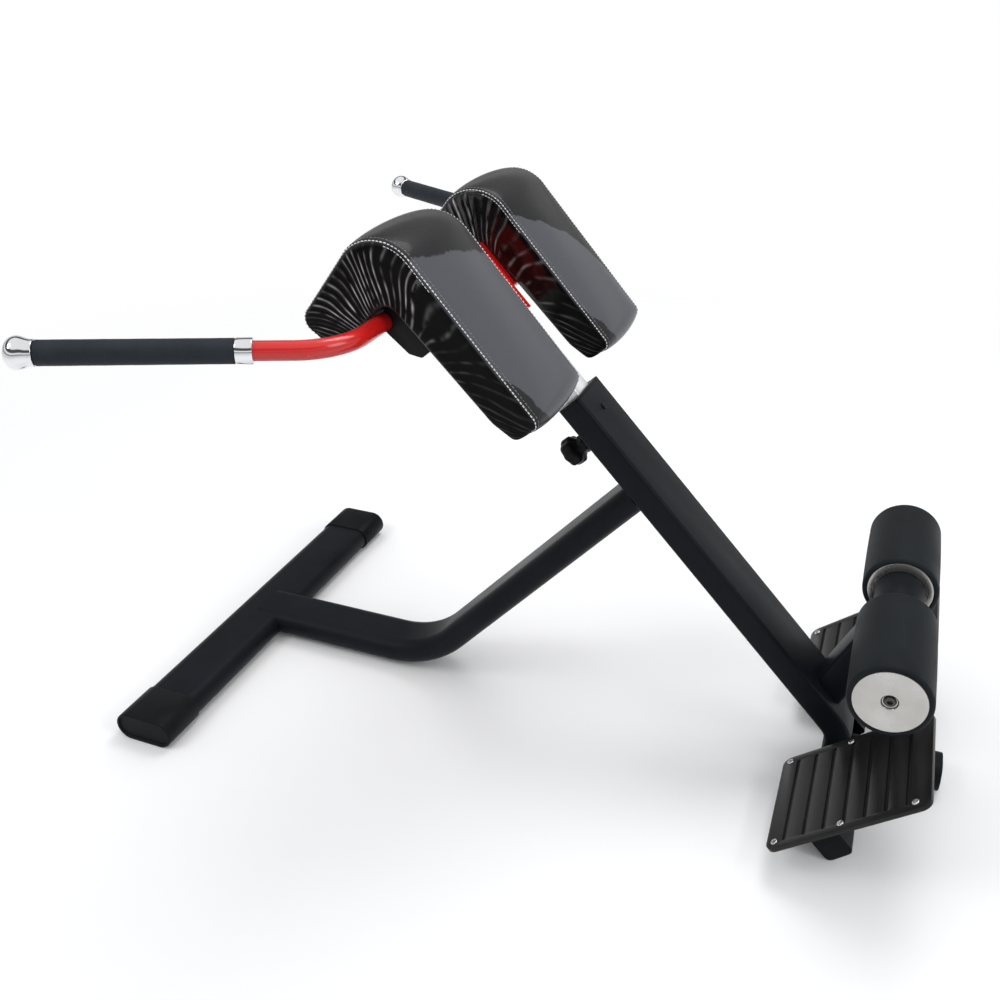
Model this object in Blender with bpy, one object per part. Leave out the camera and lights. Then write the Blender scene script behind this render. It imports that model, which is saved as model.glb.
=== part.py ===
# Back extension machine: a 45 degree hyperextension bench with a sliding pad carriage.
# Metres, +Z up, +X to one side, +Y towards the foot plates; the user faces -Y.
# The origin is on the floor, under the middle of the whole machine.
# Many pieces are drawn in the beam's own frame: x across, s down the beam from its top end,
# and n out of the beam's upper face.

import math

import bmesh
import bpy
from mathutils import Matrix, Vector

# Gaps between pieces
SEAT_GAP = 0.0003
RUN_GAP = 0.0005

# Small chamfer on turned edges
EDGE_BREAK = 0.001

# Main beam, a rectangular tube that leans back over the foot plates
BEAM_SLOPE = math.radians(46.72)
BEAM_TOP_Y = 0.628
BEAM_TOP_Z = 0.5816
BEAM_WIDTH = 0.100
BEAM_DEPTH = 0.040
BEAM_WALL = 0.003
BEAM_CORNER = 0.006
BEAM_FOOT_RADIUS = 0.030
BEAM_FOOT_RISE = 0.0205

# Flat-oval tube of the front stabilizer and the tail, and its rubber boots
OVAL_WIDTH = 0.100
OVAL_HEIGHT = 0.045
OVAL_WALL = 0.0025
FRONT_SPAN = 0.756
BOOT_SIDE = 0.003
BOOT_SOLE = 0.0025
BOOT_LENGTH = 0.080
BOOT_END = 0.008
BOOT_RECESS = 0.003
BOOT_RIM = 0.0055
BOOT_BEAD = 0.002
TAIL_AHEAD = 0.001
TAIL_LENGTH = 0.179
TAIL_WIDTH = 0.060
TAIL_BOOT_LENGTH = 0.045
PLUG_DEPTH = 0.018
PLUG_HEAD = 0.003

# Spine, the bent flat-oval tube between the stabilizer and the beam
SPINE_WIDTH = 0.095
SPINE_HEIGHT = 0.045
SPINE_WALL = 0.0025
SPINE_LAP = 0.0025
SPINE_RISE = math.radians(47.88)
SPINE_BEND_RADIUS = 0.1727
SPINE_STATION = 0.172

# Rear cross tubes, one on each side of the beam, tilted with it
REAR_TUBE_LONG = 0.062
REAR_TUBE_THICK = 0.040
REAR_TUBE_WALL = 0.0025
REAR_TUBE_CORNER = 0.006
REAR_TUBE_DROP = 0.050
REAR_SPAN = 0.445
REAR_BOOT_WALL = 0.0025
REAR_BOOT_LENGTH = 0.060
REAR_BOOT_END = 0.006
REAR_BOOT_CORNER = 0.009

# Foot plates and the channel that carries each
PLATE_TILT = math.radians(39.4)
PLATE_AHEAD = 0.0542
PLATE_FRONT_REACH = 0.1022
PLATE_LENGTH = 0.247
PLATE_THICK = 0.006
PLATE_INNER_X = 0.085
PLATE_OUTER_X = 0.281
PLATE_CORNER = 0.014
GROOVE_FIRST = 0.0285
GROOVE_PITCH = 0.0310
GROOVE_COUNT = 7
GROOVE_WIDTH = 0.006
GROOVE_DEPTH = 0.0025
GROOVE_MARGIN = 0.012
GROOVE_CORNER = 0.0027
CHANNEL_WIDTH = 0.044
CHANNEL_DEPTH = 0.026
CHANNEL_WALL = 0.003
CHANNEL_INSET = 0.004
CHANNEL_MARGIN = 0.018

# Roller arm, hub and axle
ROLLER_AHEAD = 0.115
ROLLER_HEIGHT = 0.166
ARM_AHEAD = 0.048
ARM_WIDTH = 0.050
ARM_DEPTH = 0.050
ARM_WALL = 0.003
ARM_CORNER = 0.006
HUB_RADIUS = 0.036
HUB_WALL = 0.004
HUB_LENGTH = 0.084
HUB_BUSH_DEPTH = 0.014
HUB_FLANGE = 0.0015
AXLE_RADIUS = 0.0125
END_BOLT_RADIUS = 0.005
END_BOLT_HEAD_RADIUS = 0.0072
END_BOLT_HEAD = 0.006
END_BOLT_LENGTH = 0.028
HEX_KEY_RADIUS = 0.0035
HEX_KEY_DEPTH = 0.004

# Rollers
ROLLER_RADIUS = 0.0548
ROLLER_INNER_X = 0.0452
ROLLER_OUTER_X = 0.2323
ROLLER_LIP = 0.0055
CORE_WALL = 0.0035
DISC_RADIUS = 0.0476
DISC_THICK = 0.0025
DISC_SINK = 0.0012
DISC_DISH_RADIUS = 0.0120
DISC_DISH_DEPTH = 0.003
INNER_DISC_WINDOW = 0.040
DISC_HOLE_RADIUS = 0.0085

# Post, bushing and pull-pin
POST_WIDTH = 0.050
POST_DEPTH = 0.025
POST_WALL = 0.0025
POST_CORNER = 0.003
POST_TOP = -0.245
POST_BOTTOM = 0.270
BUSHING_DEPTH = 0.050
BUSHING_FLANGE = 0.004
BUSHING_SCREW_STATION = 0.034
BUSHING_SCREW_RADIUS = 0.0025
BUSHING_SCREW_HEAD_RADIUS = 0.0052
BUSHING_SCREW_HEAD = 0.0022
BUSHING_SCREW_LENGTH = 0.007
PIN_STATION = 0.064
PIN_RADIUS = 0.005
INDEX_RADIUS = 0.0056
INDEX_PITCH = 0.025
INDEX_BELOW = 4
INDEX_ABOVE = 6
HOUSING_RADIUS = 0.0135
HOUSING_LENGTH = 0.030
HOUSING_HEX_RADIUS = 0.0155
HOUSING_HEX_LENGTH = 0.010
KNOB_RADIUS = 0.022
KNOB_LENGTH = 0.028
KNOB_LOBES = 8
KNOB_SCALLOP = 0.0016
KNOB_COLLAR_RADIUS = 0.013
KNOB_NECK = 0.006
KNOB_NECK_RADIUS = 0.016
KNOB_SHOULDER = 0.010
KNOB_CROWN = 0.006
KNOB_CROWN_RADIUS = 0.0198
KNOB_TOP = 0.002
KNOB_TOP_RADIUS = 0.0136
PIN_IN_KNOB = 0.018

# Handlebar: one red tube, straight across, bent forward and outward on each side
BAR_RADIUS = 0.0127
BAR_WALL = 0.002
BAR_STATION = -0.2583
BAR_DROP = 0.0563
BAR_STRAIGHT_HALF = 0.2856
BAR_BEND_RADIUS = 0.0910
BAR_BEND_ANGLE = math.radians(63.53)
BAR_LIFT = math.radians(1.45)
COLLAR_START = 0.049
COLLAR_LENGTH = 0.0213
COLLAR_RADIUS = 0.0165
GRIP_RADIUS = 0.0160
GRIP_LENGTH = 0.2357
CAP_LENGTH = 0.037
CAP_RADIUS = 0.021
CAP_NECK_RADIUS = 0.0168
CAP_SLEEVE = 0.016
CAP_FLARE = 0.006
CAP_CROWN = 0.0105
BAR_INTO_CAP = 0.013

# Carriage cross member and the black bracket under each pad
CROSS_FRONT = -0.274
CROSS_REAR = -0.1895
CROSS_TOP_DROP = 0.0185
CROSS_NOSE_DROP = 0.037
CROSS_TOE_STATION = -0.246
CROSS_TOE_DROP = 0.063
CROSS_HEEL_STATION = -0.205
CROSS_HEEL_DROP = 0.0575
CROSS_BACK_DROP = 0.046
CROSS_FILLET = 0.006
CROSS_HALF_WIDTH = 0.088
CROSS_WALL = 0.005
CROSS_POCKET_X = 0.038
NECK_WALL = 0.006
NECK_REAR = -0.150
BRACKET_OUTER_X = 0.230

# Pads: a bent cushion over a plywood board, one on each side of the beam
PAD_INNER_X = 0.070
PAD_OUTER_X = 0.252
PAD_APEX_AHEAD = 0.2163
PAD_APEX_RISE = 0.2993
PAD_REAR_SLOPE = math.radians(48.4)
PAD_FRONT_SLOPE = math.radians(53.3)
PAD_REAR_LENGTH = 0.3345
PAD_FRONT_LENGTH = 0.1900
PAD_BEND_RADIUS = 0.062
PAD_THICK = 0.0535
PAD_TIP_THICK = 0.0385
PAD_TIP_TAPER = 0.042
PAD_LOBE_THICK = 0.054
PAD_CREASE_ALONG = 0.0924
PAD_CREASE_DEEP = 0.0629
PAD_CREASE_RADIUS = 0.005
PAD_TIP_RADIUS = 0.012
PAD_LOBE_RADIUS = 0.017
PAD_TAPER_RADIUS = 0.030
PAD_CROWN = 0.0120
PAD_CROWN_POWER = 0.5
PAD_DRAWN_IN = 0.0030
PAD_EDGE_ROUND = 0.0050
PAD_SIDE_ROWS = ((1.0, 1.9), (0.7, 1.1), (0.0, 0.3))
PAD_SEAM_ROLL = 0.35
PAD_STATIONS = 8
PAD_FACET = 0.030
BOARD_THICK = 0.012
BOARD_FRONT = -0.262
BOARD_REAR = -0.075
BOARD_MARGIN = 0.012
BOARD_CORNER = 0.010
BOARD_POCKET_BELOW = 0.012
PAD_BOLT_RADIUS = 0.004
PAD_BOLT_HEAD_RADIUS = 0.0065
PAD_BOLT_HEAD = 0.005
PAD_BOLT_STATION = -0.222
PAD_BOLT_SEAT = 0.050
PAD_BOLT_BITE = 0.009
PAD_BOLT_INNER_X = 0.120
PAD_BOLT_OUTER_X = 0.200
COUNTERBORE_RADIUS = 0.0080

# Facet counts
ROUND_STEPS = 28
SMALL_STEPS = 16
TUBE_STEPS = 16
OVAL_STEPS = 8
BEND_STEPS = 8
FOOT_STEPS = 5
CORNER_STEPS = 3

# Worked-out places
SIN_B = math.sin(BEAM_SLOPE)
COS_B = math.cos(BEAM_SLOPE)
BOOT_HALF_Y = OVAL_WIDTH / 2 + BOOT_SIDE
OVAL_CENTRE_Z = BOOT_SOLE + OVAL_HEIGHT / 2
OVAL_TOP_Z = BOOT_SOLE + OVAL_HEIGHT

# The beam bends down to stand upright on the tail; its foot sets where the tail lies
FOOT_TURN = math.pi / 2 - BEAM_SLOPE
FOOT_END_N = -BEAM_DEPTH - BEAM_FOOT_RADIUS * (1.0 - math.cos(FOOT_TURN))
FOOT_END_S = (BEAM_TOP_Z + FOOT_END_N * COS_B - OVAL_TOP_Z - BEAM_FOOT_RISE) / SIN_B
FOOT_STATION = FOOT_END_S - BEAM_FOOT_RADIUS * math.sin(FOOT_TURN)
TAIL_FRONT_Y = BEAM_TOP_Y + FOOT_END_S * COS_B + FOOT_END_N * SIN_B - TAIL_AHEAD
TAIL_REAR_Y = TAIL_FRONT_Y + TAIL_LENGTH
CENTRE_Y = (TAIL_REAR_Y - BOOT_HALF_Y) / 2

# The rear tube lies along the beam so that its boot's round corner is on the floor
REAR_LOW_N = -REAR_TUBE_DROP - REAR_TUBE_THICK / 2 - REAR_BOOT_WALL
REAR_CORNER_RISE = REAR_BOOT_CORNER * (SIN_B + COS_B - 1.0)
REAR_FAR_S = (BEAM_TOP_Z + REAR_LOW_N * COS_B + REAR_CORNER_RISE) / SIN_B
REAR_STATION = REAR_FAR_S - REAR_BOOT_WALL - REAR_TUBE_LONG / 2
PLATE_STATION = REAR_STATION - PLATE_AHEAD
ROLLER_STATION = PLATE_STATION - ROLLER_AHEAD
ARM_STATION = PLATE_STATION - ARM_AHEAD
PAD_APEX_Y = BEAM_TOP_Y - PAD_APEX_AHEAD
PAD_APEX_Z = BEAM_TOP_Z + PAD_APEX_RISE
BEAM_ORIGIN = Vector((0.0, BEAM_TOP_Y - CENTRE_Y, BEAM_TOP_Z))
BEAM_TURN = (-BEAM_SLOPE, 0.0, 0.0)
POST_MID = -BEAM_DEPTH / 2
BAR_END = COLLAR_START + COLLAR_LENGTH + GRIP_LENGTH


def beam_to_world(x, s, n):
    """World place of a point given in the beam's frame."""
    return BEAM_ORIGIN + Vector((x, s * COS_B + n * SIN_B, n * COS_B - s * SIN_B))


def world_to_beam(y, z):
    """The (s, n) of a world point in the side view."""
    dy = y - BEAM_ORIGIN.y
    dz = z - BEAM_ORIGIN.z
    return (dy * COS_B - dz * SIN_B, dy * SIN_B + dz * COS_B)


# Scene and material helpers

def clear_scene():
    for obj in list(bpy.data.objects):
        bpy.data.objects.remove(obj, do_unlink=True)


def make_material(name, color, roughness, metallic):
    material = bpy.data.materials.new(name)
    material.use_nodes = True
    shader = material.node_tree.nodes["Principled BSDF"]
    shader.inputs["Base Color"].default_value = (*color, 1.0)
    shader.inputs["Roughness"].default_value = roughness
    shader.inputs["Metallic"].default_value = metallic
    return material


def make_empty(name, location, rotation=(0.0, 0.0, 0.0), parent=None):
    empty = bpy.data.objects.new(name, None)
    empty.location = location
    empty.rotation_euler = rotation
    empty.parent = parent
    bpy.context.scene.collection.objects.link(empty)
    return empty


def face_outwards(bm):
    bmesh.ops.recalc_face_normals(bm, faces=bm.faces)
    if bm.calc_volume(signed=True) < 0.0:
        bmesh.ops.reverse_faces(bm, faces=bm.faces)


def make_object(name, solids, material, parent=None, location=(0.0, 0.0, 0.0), smooth=35.0):
    """Object from one solid, or from a list of separate solids for a tool."""
    whole = bmesh.new()
    for solid in solids if isinstance(solids, list) else [solids]:
        face_outwards(solid)
        step = bpy.data.meshes.new("step")
        solid.to_mesh(step)
        solid.free()
        whole.from_mesh(step)
        bpy.data.meshes.remove(step)
    mesh = bpy.data.meshes.new(name)
    whole.to_mesh(mesh)
    whole.free()
    if material:
        mesh.materials.append(material)
    mesh.shade_smooth()
    mesh.set_sharp_from_angle(angle=math.radians(smooth))
    obj = bpy.data.objects.new(name, mesh)
    obj.location = location
    obj.parent = parent
    bpy.context.scene.collection.objects.link(obj)
    return obj


def combine(obj, tools, operation="DIFFERENCE"):
    """Add a Boolean modifier whose hidden tool stands in the same frame as the object."""
    number = len(obj.modifiers) + 1
    tool = make_object(f"{obj.name}_tool_{number}", tools, None, obj.parent, obj.location)
    tool.hide_render = True
    tool.display_type = "WIRE"
    tool.hide_set(True)
    modifier = obj.modifiers.new(f"tool_{number}", "BOOLEAN")
    modifier.operation = operation
    modifier.solver = "EXACT"
    modifier.object = tool


# Outlines, each a list of (a, b) points that run round the shape once

def oval(width, height, steps=OVAL_STEPS):
    """Flat oval: two half circles joined by flats, wide along a."""
    radius = height / 2
    shift = width / 2 - radius
    points = []
    for side in (1, -1):
        for step in range(steps + 1):
            angle = math.pi * (step / steps - 0.5)
            points.append((side * (shift + radius * math.cos(angle)), side * radius * math.sin(angle)))
    return points


def filleted(corners, radii, steps):
    """Polygon with each corner rounded by its own radius."""
    points = []
    count = len(corners)
    for index in range(count):
        here = Vector(corners[index])
        before = (Vector(corners[index - 1]) - here).normalized()
        after = (Vector(corners[(index + 1) % count]) - here).normalized()
        radius = radii[index]
        if radius <= 0.0:
            points.append(tuple(here))
            continue
        half = before.angle(after) / 2
        reach = radius / math.tan(half)
        centre = here + (before + after).normalized() * (radius / math.sin(half))
        start = here + before * reach - centre
        turn = math.pi - 2 * half
        side = 1.0 if before.x * after.y - before.y * after.x < 0.0 else -1.0
        for step in range(steps + 1):
            angle = side * turn * step / steps
            points.append((centre.x + start.x * math.cos(angle) - start.y * math.sin(angle),
                           centre.y + start.x * math.sin(angle) + start.y * math.cos(angle)))
    return points


def rectangle(width, height, radius=0.0, centre=(0.0, 0.0), steps=CORNER_STEPS):
    a, b = centre
    corners = [(a - width / 2, b - height / 2), (a + width / 2, b - height / 2),
               (a + width / 2, b + height / 2), (a - width / 2, b + height / 2)]
    return filleted(corners, [radius] * 4, steps)


def moved_in(corners, distances):
    """Polygon whose edge from corner i to corner i + 1 is moved inwards by distances[i]."""
    count = len(corners)
    lines = []
    for index in range(count):
        start = Vector(corners[index])
        along = (Vector(corners[(index + 1) % count]) - start).normalized()
        inward = Vector((-along.y, along.x))
        lines.append((start + inward * distances[index], along))
    points = []
    for index in range(count):
        start, along = lines[index - 1]
        other, across = lines[index]
        cross = along.x * across.y - along.y * across.x
        gap = other - start
        reach = (gap.x * across.y - gap.y * across.x) / cross
        points.append(tuple(start + along * reach))
    return points


# Solids

def prism(place, outline, start, end):
    """Extrude an outline; place(a, b, t) gives the 3D point at t along the run."""
    bm = bmesh.new()
    face = bm.faces.new([bm.verts.new(place(a, b, start)) for a, b in outline])
    result = bmesh.ops.extrude_face_region(bm, geom=[face])
    moved = [item for item in result["geom"] if isinstance(item, bmesh.types.BMVert)]
    run = Vector(place(0.0, 0.0, end)) - Vector(place(0.0, 0.0, start))
    bmesh.ops.translate(bm, verts=moved, vec=run)
    return bm


def across(a, b, t):
    """Outline in the side view, run along X."""
    return (t, a, b)


def down(a, b, t):
    """Outline across the beam, run down it."""
    return (a, t, b)


def upward(a, b, t):
    """Outline in plan, run upwards."""
    return (a, b, t)


def loft(rings, inner_rings=None):
    """Skin equal rings into one solid, with a bore if inner rings are given."""
    bm = bmesh.new()
    skins = [[[bm.verts.new(point) for point in ring] for ring in rings]]
    if inner_rings:
        skins.append([[bm.verts.new(point) for point in ring] for ring in inner_rings])
    count = len(rings[0])
    for skin in skins:
        for lower, upper in zip(skin, skin[1:]):
            for index in range(count):
                after = (index + 1) % count
                bm.faces.new((lower[index], lower[after], upper[after], upper[index]))
    for end in (0, -1):
        if inner_rings:
            outer, inner = skins[0][end], skins[1][end]
            for index in range(count):
                after = (index + 1) % count
                bm.faces.new((outer[index], outer[after], inner[after], inner[index]))
        else:
            bm.faces.new(skins[0][end])
    return bm


def turned(profile, steps=ROUND_STEPS, closed=True):
    """Spin (t, radius) points about X; an open profile starts and ends on the axis."""
    bm = bmesh.new()
    verts = [bm.verts.new((t, radius, 0.0)) for t, radius in profile]
    edges = [bm.edges.new(pair) for pair in zip(verts, verts[1:])]
    if closed:
        edges.append(bm.edges.new((verts[-1], verts[0])))
    bmesh.ops.spin(bm, geom=verts + edges, cent=(0, 0, 0), axis=(1, 0, 0), angle=2 * math.pi,
                   steps=steps, use_merge=True)
    bmesh.ops.remove_doubles(bm, verts=bm.verts, dist=0.000001)
    return bm


def turned_to(bm, matrix):
    """Move a solid spun about X to where a matrix puts that axis."""
    bmesh.ops.transform(bm, matrix=matrix, verts=bm.verts)
    return bm


def rod(radius, start, end, steps=SMALL_STEPS):
    return turned([(start, 0.0), (start, radius), (end, radius), (end, 0.0)], steps, closed=False)


def sleeve(outer, inner, start, end, steps=ROUND_STEPS):
    return turned([(start, inner), (start, outer), (end, outer), (end, inner)], steps)


def axis_along_n(x, s, n):
    """Matrix that turns the X axis to n in the beam's frame, through the point given."""
    return Matrix.Translation((x, s, n)) @ Matrix.Rotation(-math.pi / 2, 4, "Y")


# Frame pieces

def oval_tube(name, width, place, start, end, material):
    outer = oval(width, OVAL_HEIGHT)
    inner = oval(width - 2 * OVAL_WALL, OVAL_HEIGHT - 2 * OVAL_WALL)
    rings = [[place(a, b, t) for a, b in outer] for t in (start, end)]
    bores = [[place(a, b, t) for a, b in inner] for t in (start, end)]
    return make_object(name, loft(rings, bores), material)


def front_place(a, b, t):
    return (t, a - CENTRE_Y, b + OVAL_CENTRE_Z)


def tail_place(a, b, t):
    return (a, t - CENTRE_Y, b + OVAL_CENTRE_Z)


def boot_end(name, width, place, open_at, closed_at, material):
    """Rubber boot: a cup over the tube's end, with a raised rim round a sunk face."""
    sign = 1.0 if closed_at > open_at else -1.0
    wide = width + 2 * BOOT_SIDE
    high = OVAL_HEIGHT + 2 * BOOT_SOLE

    def ring(shrink, t):
        return [place(a, b, t) for a, b in oval(wide - 2 * shrink, high - 2 * shrink)]

    def bore(grow, t):
        return [place(a, b, t) for a, b in oval(width + 2 * grow, OVAL_HEIGHT + 2 * grow)]

    recess = closed_at - sign * BOOT_RECESS
    floor = closed_at - sign * BOOT_END
    outer = [ring(0.0, open_at), ring(0.0, closed_at - sign * BOOT_BEAD),
             ring(BOOT_BEAD, closed_at), ring(BOOT_RIM - BOOT_BEAD, closed_at), ring(BOOT_RIM, recess)]
    bm = bmesh.new()
    loops = [[bm.verts.new(point) for point in points] for points in outer]
    cup = [[bm.verts.new(point) for point in points]
           for points in (bore(SEAT_GAP, open_at), bore(SEAT_GAP, floor))]
    count = len(loops[0])
    for lower, upper in list(zip(loops, loops[1:])) + [(loops[0], cup[0]), (cup[0], cup[1])]:
        for index in range(count):
            after = (index + 1) % count
            bm.faces.new((lower[index], lower[after], upper[after], upper[index]))
    bm.faces.new(loops[-1])
    bm.faces.new(cup[-1])
    return make_object(name, bm, material)


def build_front(paint, rubber):
    half = FRONT_SPAN / 2
    tube_half = half - BOOT_END - SEAT_GAP
    oval_tube("front_stabilizer", OVAL_WIDTH, front_place, -tube_half, tube_half, paint)
    for side, name in ((1, "right"), (-1, "left")):
        boot_end(f"front_boot_{name}", OVAL_WIDTH, front_place, side * (half - BOOT_LENGTH),
                 side * half, rubber)


def build_spine(paint):
    """Flat-oval tube that leaves the stabilizer level, bends up and meets the beam's underside."""
    base_z = OVAL_TOP_Z + SPINE_LAP - SPINE_HEIGHT / 2
    top = beam_to_world(0.0, SPINE_STATION, -BEAM_DEPTH - SEAT_GAP)
    rise = Vector((0.0, math.cos(SPINE_RISE), math.sin(SPINE_RISE)))
    corner_y = top.y - (top.z - base_z) / math.tan(SPINE_RISE)
    tangent = SPINE_BEND_RADIUS * math.tan(SPINE_RISE / 2)
    bend_y = corner_y - tangent
    start_y = OVAL_WIDTH / 2 - OVAL_HEIGHT / 2 - CENTRE_Y
    outlines = (oval(SPINE_WIDTH, SPINE_HEIGHT),
                oval(SPINE_WIDTH - 2 * SPINE_WALL, SPINE_HEIGHT - 2 * SPINE_WALL))
    skins = []
    for outline in outlines:
        rings = [[(a, start_y, base_z + b) for a, b in outline]]
        for step in range(BEND_STEPS + 1):
            angle = SPINE_RISE * step / BEND_STEPS
            y = bend_y + SPINE_BEND_RADIUS * math.sin(angle)
            z = base_z + SPINE_BEND_RADIUS * (1 - math.cos(angle))
            rings.append([(a, y - b * math.sin(angle), z + b * math.cos(angle)) for a, b in outline])
        facing = Vector((0.0, SIN_B, COS_B))
        last = []
        for point in rings[-1]:
            here = Vector(point)
            reach = (top - here).dot(facing) / rise.dot(facing)
            last.append(tuple(here + rise * reach))
        rings.append(last)
        skins.append(rings)
    spine = make_object("spine_tube", loft(*skins), paint)
    grown = oval(OVAL_WIDTH + 2 * SEAT_GAP, OVAL_HEIGHT + 2 * SEAT_GAP)
    rings = [[front_place(a, b, t) for a, b in grown] for t in (-SPINE_WIDTH, SPINE_WIDTH)]
    combine(spine, loft(rings))


def build_beam(paint, beam_axis):
    """Rectangular tube, square at the top, bent upright at its foot and standing on the tail."""
    skins = []
    for wall in (0.0, BEAM_WALL):
        outline = rectangle(BEAM_WIDTH - 2 * wall, BEAM_DEPTH - 2 * wall, BEAM_CORNER - wall,
                            (0.0, -BEAM_DEPTH / 2))
        rings = [[(x, 0.0, n) for x, n in outline]]
        for step in range(FOOT_STEPS + 1):
            angle = FOOT_TURN * step / FOOT_STEPS
            ring = []
            for x, n in outline:
                reach = n + BEAM_DEPTH + BEAM_FOOT_RADIUS
                ring.append((x, FOOT_STATION + reach * math.sin(angle), n + reach * (math.cos(angle) - 1.0)))
            rings.append(ring)
        foot = []
        for x, s, n in rings[-1]:
            height = BEAM_TOP_Z + n * COS_B - s * SIN_B - OVAL_TOP_Z - SEAT_GAP
            foot.append((x, s + height * SIN_B, n - height * COS_B))
        rings.append(foot)
        skins.append(rings)
    beam = make_object("main_beam", loft(*skins), paint, beam_axis)
    pin_hole = turned_to(rod(PIN_RADIUS + RUN_GAP, -BEAM_WALL * 2, BEAM_WALL * 2),
                         axis_along_n(0.0, PIN_STATION, -BEAM_DEPTH))
    screw_hole = turned_to(rod(BUSHING_SCREW_RADIUS + SEAT_GAP, -BEAM_WALL * 2, BEAM_WALL * 2),
                           axis_along_n(0.0, BUSHING_SCREW_STATION, 0.0))
    combine(beam, [pin_hole, screw_hole])


def build_bushing(plastic, screw_steel, beam_axis):
    """Flanged plastic sleeve in the beam's mouth, and the screw that holds it."""
    snug = BEAM_WALL + SEAT_GAP
    mid = (0.0, POST_MID)
    flange = rectangle(BEAM_WIDTH, BEAM_DEPTH, BEAM_CORNER, mid)
    body = rectangle(BEAM_WIDTH - 2 * snug, BEAM_DEPTH - 2 * snug, BEAM_CORNER - BEAM_WALL, mid)
    bore = rectangle(POST_WIDTH + 2 * RUN_GAP, POST_DEPTH + 2 * RUN_GAP, POST_CORNER, mid)
    places = ((flange, -BUSHING_FLANGE - SEAT_GAP), (flange, -SEAT_GAP), (body, -SEAT_GAP),
              (body, BUSHING_DEPTH))
    outer = [[(a, t, b) for a, b in outline] for outline, t in places]
    inner = [[(a, t, b) for a, b in bore] for outline, t in places[:1]]
    inner.append([(a, BUSHING_DEPTH, b) for a, b in bore])
    bm = bmesh.new()
    loops = [[bm.verts.new(point) for point in ring] for ring in outer]
    bores = [[bm.verts.new(point) for point in ring] for ring in inner]
    pairs = list(zip(loops, loops[1:])) + [(loops[0], bores[0]), (bores[0], bores[1]),
                                           (bores[1], loops[-1])]
    count = len(flange)
    for lower, upper in pairs:
        for index in range(count):
            after = (index + 1) % count
            bm.faces.new((lower[index], lower[after], upper[after], upper[index]))
    bushing = make_object("beam_bushing", bm, plastic, beam_axis)
    hole = turned_to(rod(BUSHING_SCREW_RADIUS + SEAT_GAP, -BUSHING_SCREW_LENGTH, BEAM_WALL),
                     axis_along_n(0.0, BUSHING_SCREW_STATION, 0.0))
    combine(bushing, hole)
    shank_end = SEAT_GAP - BUSHING_SCREW_LENGTH
    head_top = SEAT_GAP + BUSHING_SCREW_HEAD
    profile = [(shank_end, 0.0), (shank_end, BUSHING_SCREW_RADIUS), (SEAT_GAP, BUSHING_SCREW_RADIUS),
               (SEAT_GAP, BUSHING_SCREW_HEAD_RADIUS),
               (head_top - BUSHING_SCREW_HEAD / 2, BUSHING_SCREW_HEAD_RADIUS),
               (head_top, BUSHING_SCREW_HEAD_RADIUS * 0.6), (head_top, 0.0)]
    screw = turned_to(turned(profile, SMALL_STEPS, closed=False),
                      axis_along_n(0.0, BUSHING_SCREW_STATION, 0.0))
    make_object("bushing_screw", screw, screw_steel, beam_axis)


def build_tail(paint, rubber, plastic):
    tube_end = TAIL_REAR_Y - BOOT_END - SEAT_GAP
    tube_start = TAIL_FRONT_Y + PLUG_HEAD + SEAT_GAP
    oval_tube("tail_tube", TAIL_WIDTH, tail_place, tube_start, tube_end, paint)
    boot_end("tail_boot", TAIL_WIDTH, tail_place, TAIL_REAR_Y - TAIL_BOOT_LENGTH, TAIL_REAR_Y,
             rubber)
    snug = 2 * (OVAL_WALL + SEAT_GAP)
    head = oval(TAIL_WIDTH, OVAL_HEIGHT)
    stem = oval(TAIL_WIDTH - snug, OVAL_HEIGHT - snug)
    face_y = TAIL_FRONT_Y + PLUG_HEAD
    rings = [[tail_place(a, b, t) for a, b in outline]
             for outline, t in ((head, TAIL_FRONT_Y), (head, face_y), (stem, face_y),
                                (stem, face_y + PLUG_DEPTH))]
    make_object("tail_plug", loft(rings), plastic)


# Rear cross tubes, foot plates and their channels

def rear_outline(grow, radius):
    centre = (REAR_STATION, -REAR_TUBE_DROP)
    return rectangle(REAR_TUBE_LONG + 2 * grow, REAR_TUBE_THICK + 2 * grow, radius, centre)


def build_rear(paint, rubber, beam_axis):
    for side, name in ((1, "right"), (-1, "left")):
        start = side * (BEAM_WIDTH / 2 + SEAT_GAP)
        end = side * (REAR_SPAN / 2 - REAR_BOOT_END - SEAT_GAP)
        skins = []
        for grow in (0.0, -REAR_TUBE_WALL):
            outline = rear_outline(grow, REAR_TUBE_CORNER + grow)
            skins.append([[(t, a, b) for a, b in outline] for t in (start, end)])
        make_object(f"rear_tube_{name}", loft(*skins), paint, beam_axis)
        closed_at = side * REAR_SPAN / 2
        open_at = closed_at - side * REAR_BOOT_LENGTH
        floor = closed_at - side * REAR_BOOT_END
        bead = REAR_BOOT_WALL
        loops = [(REAR_BOOT_WALL, REAR_BOOT_CORNER, open_at),
                 (REAR_BOOT_WALL, REAR_BOOT_CORNER, closed_at - side * bead),
                 (REAR_BOOT_WALL - bead, REAR_BOOT_CORNER - bead, closed_at)]
        bores = [(SEAT_GAP, REAR_TUBE_CORNER + SEAT_GAP, open_at),
                 (SEAT_GAP, REAR_TUBE_CORNER + SEAT_GAP, floor)]
        bm = bmesh.new()
        rings = []
        for grow, radius, t in loops + bores:
            rings.append([bm.verts.new((t, a, b)) for a, b in rear_outline(grow, radius)])
        outer, inner = rings[:3], rings[3:]
        count = len(outer[0])
        for lower, upper in ((outer[0], outer[1]), (outer[1], outer[2]), (outer[0], inner[0]),
                             (inner[0], inner[1])):
            for index in range(count):
                after = (index + 1) % count
                bm.faces.new((lower[index], lower[after], upper[after], upper[index]))
        bm.faces.new(outer[2])
        bm.faces.new(inner[1])
        make_object(f"rear_boot_{name}", bm, rubber, beam_axis)


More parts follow.
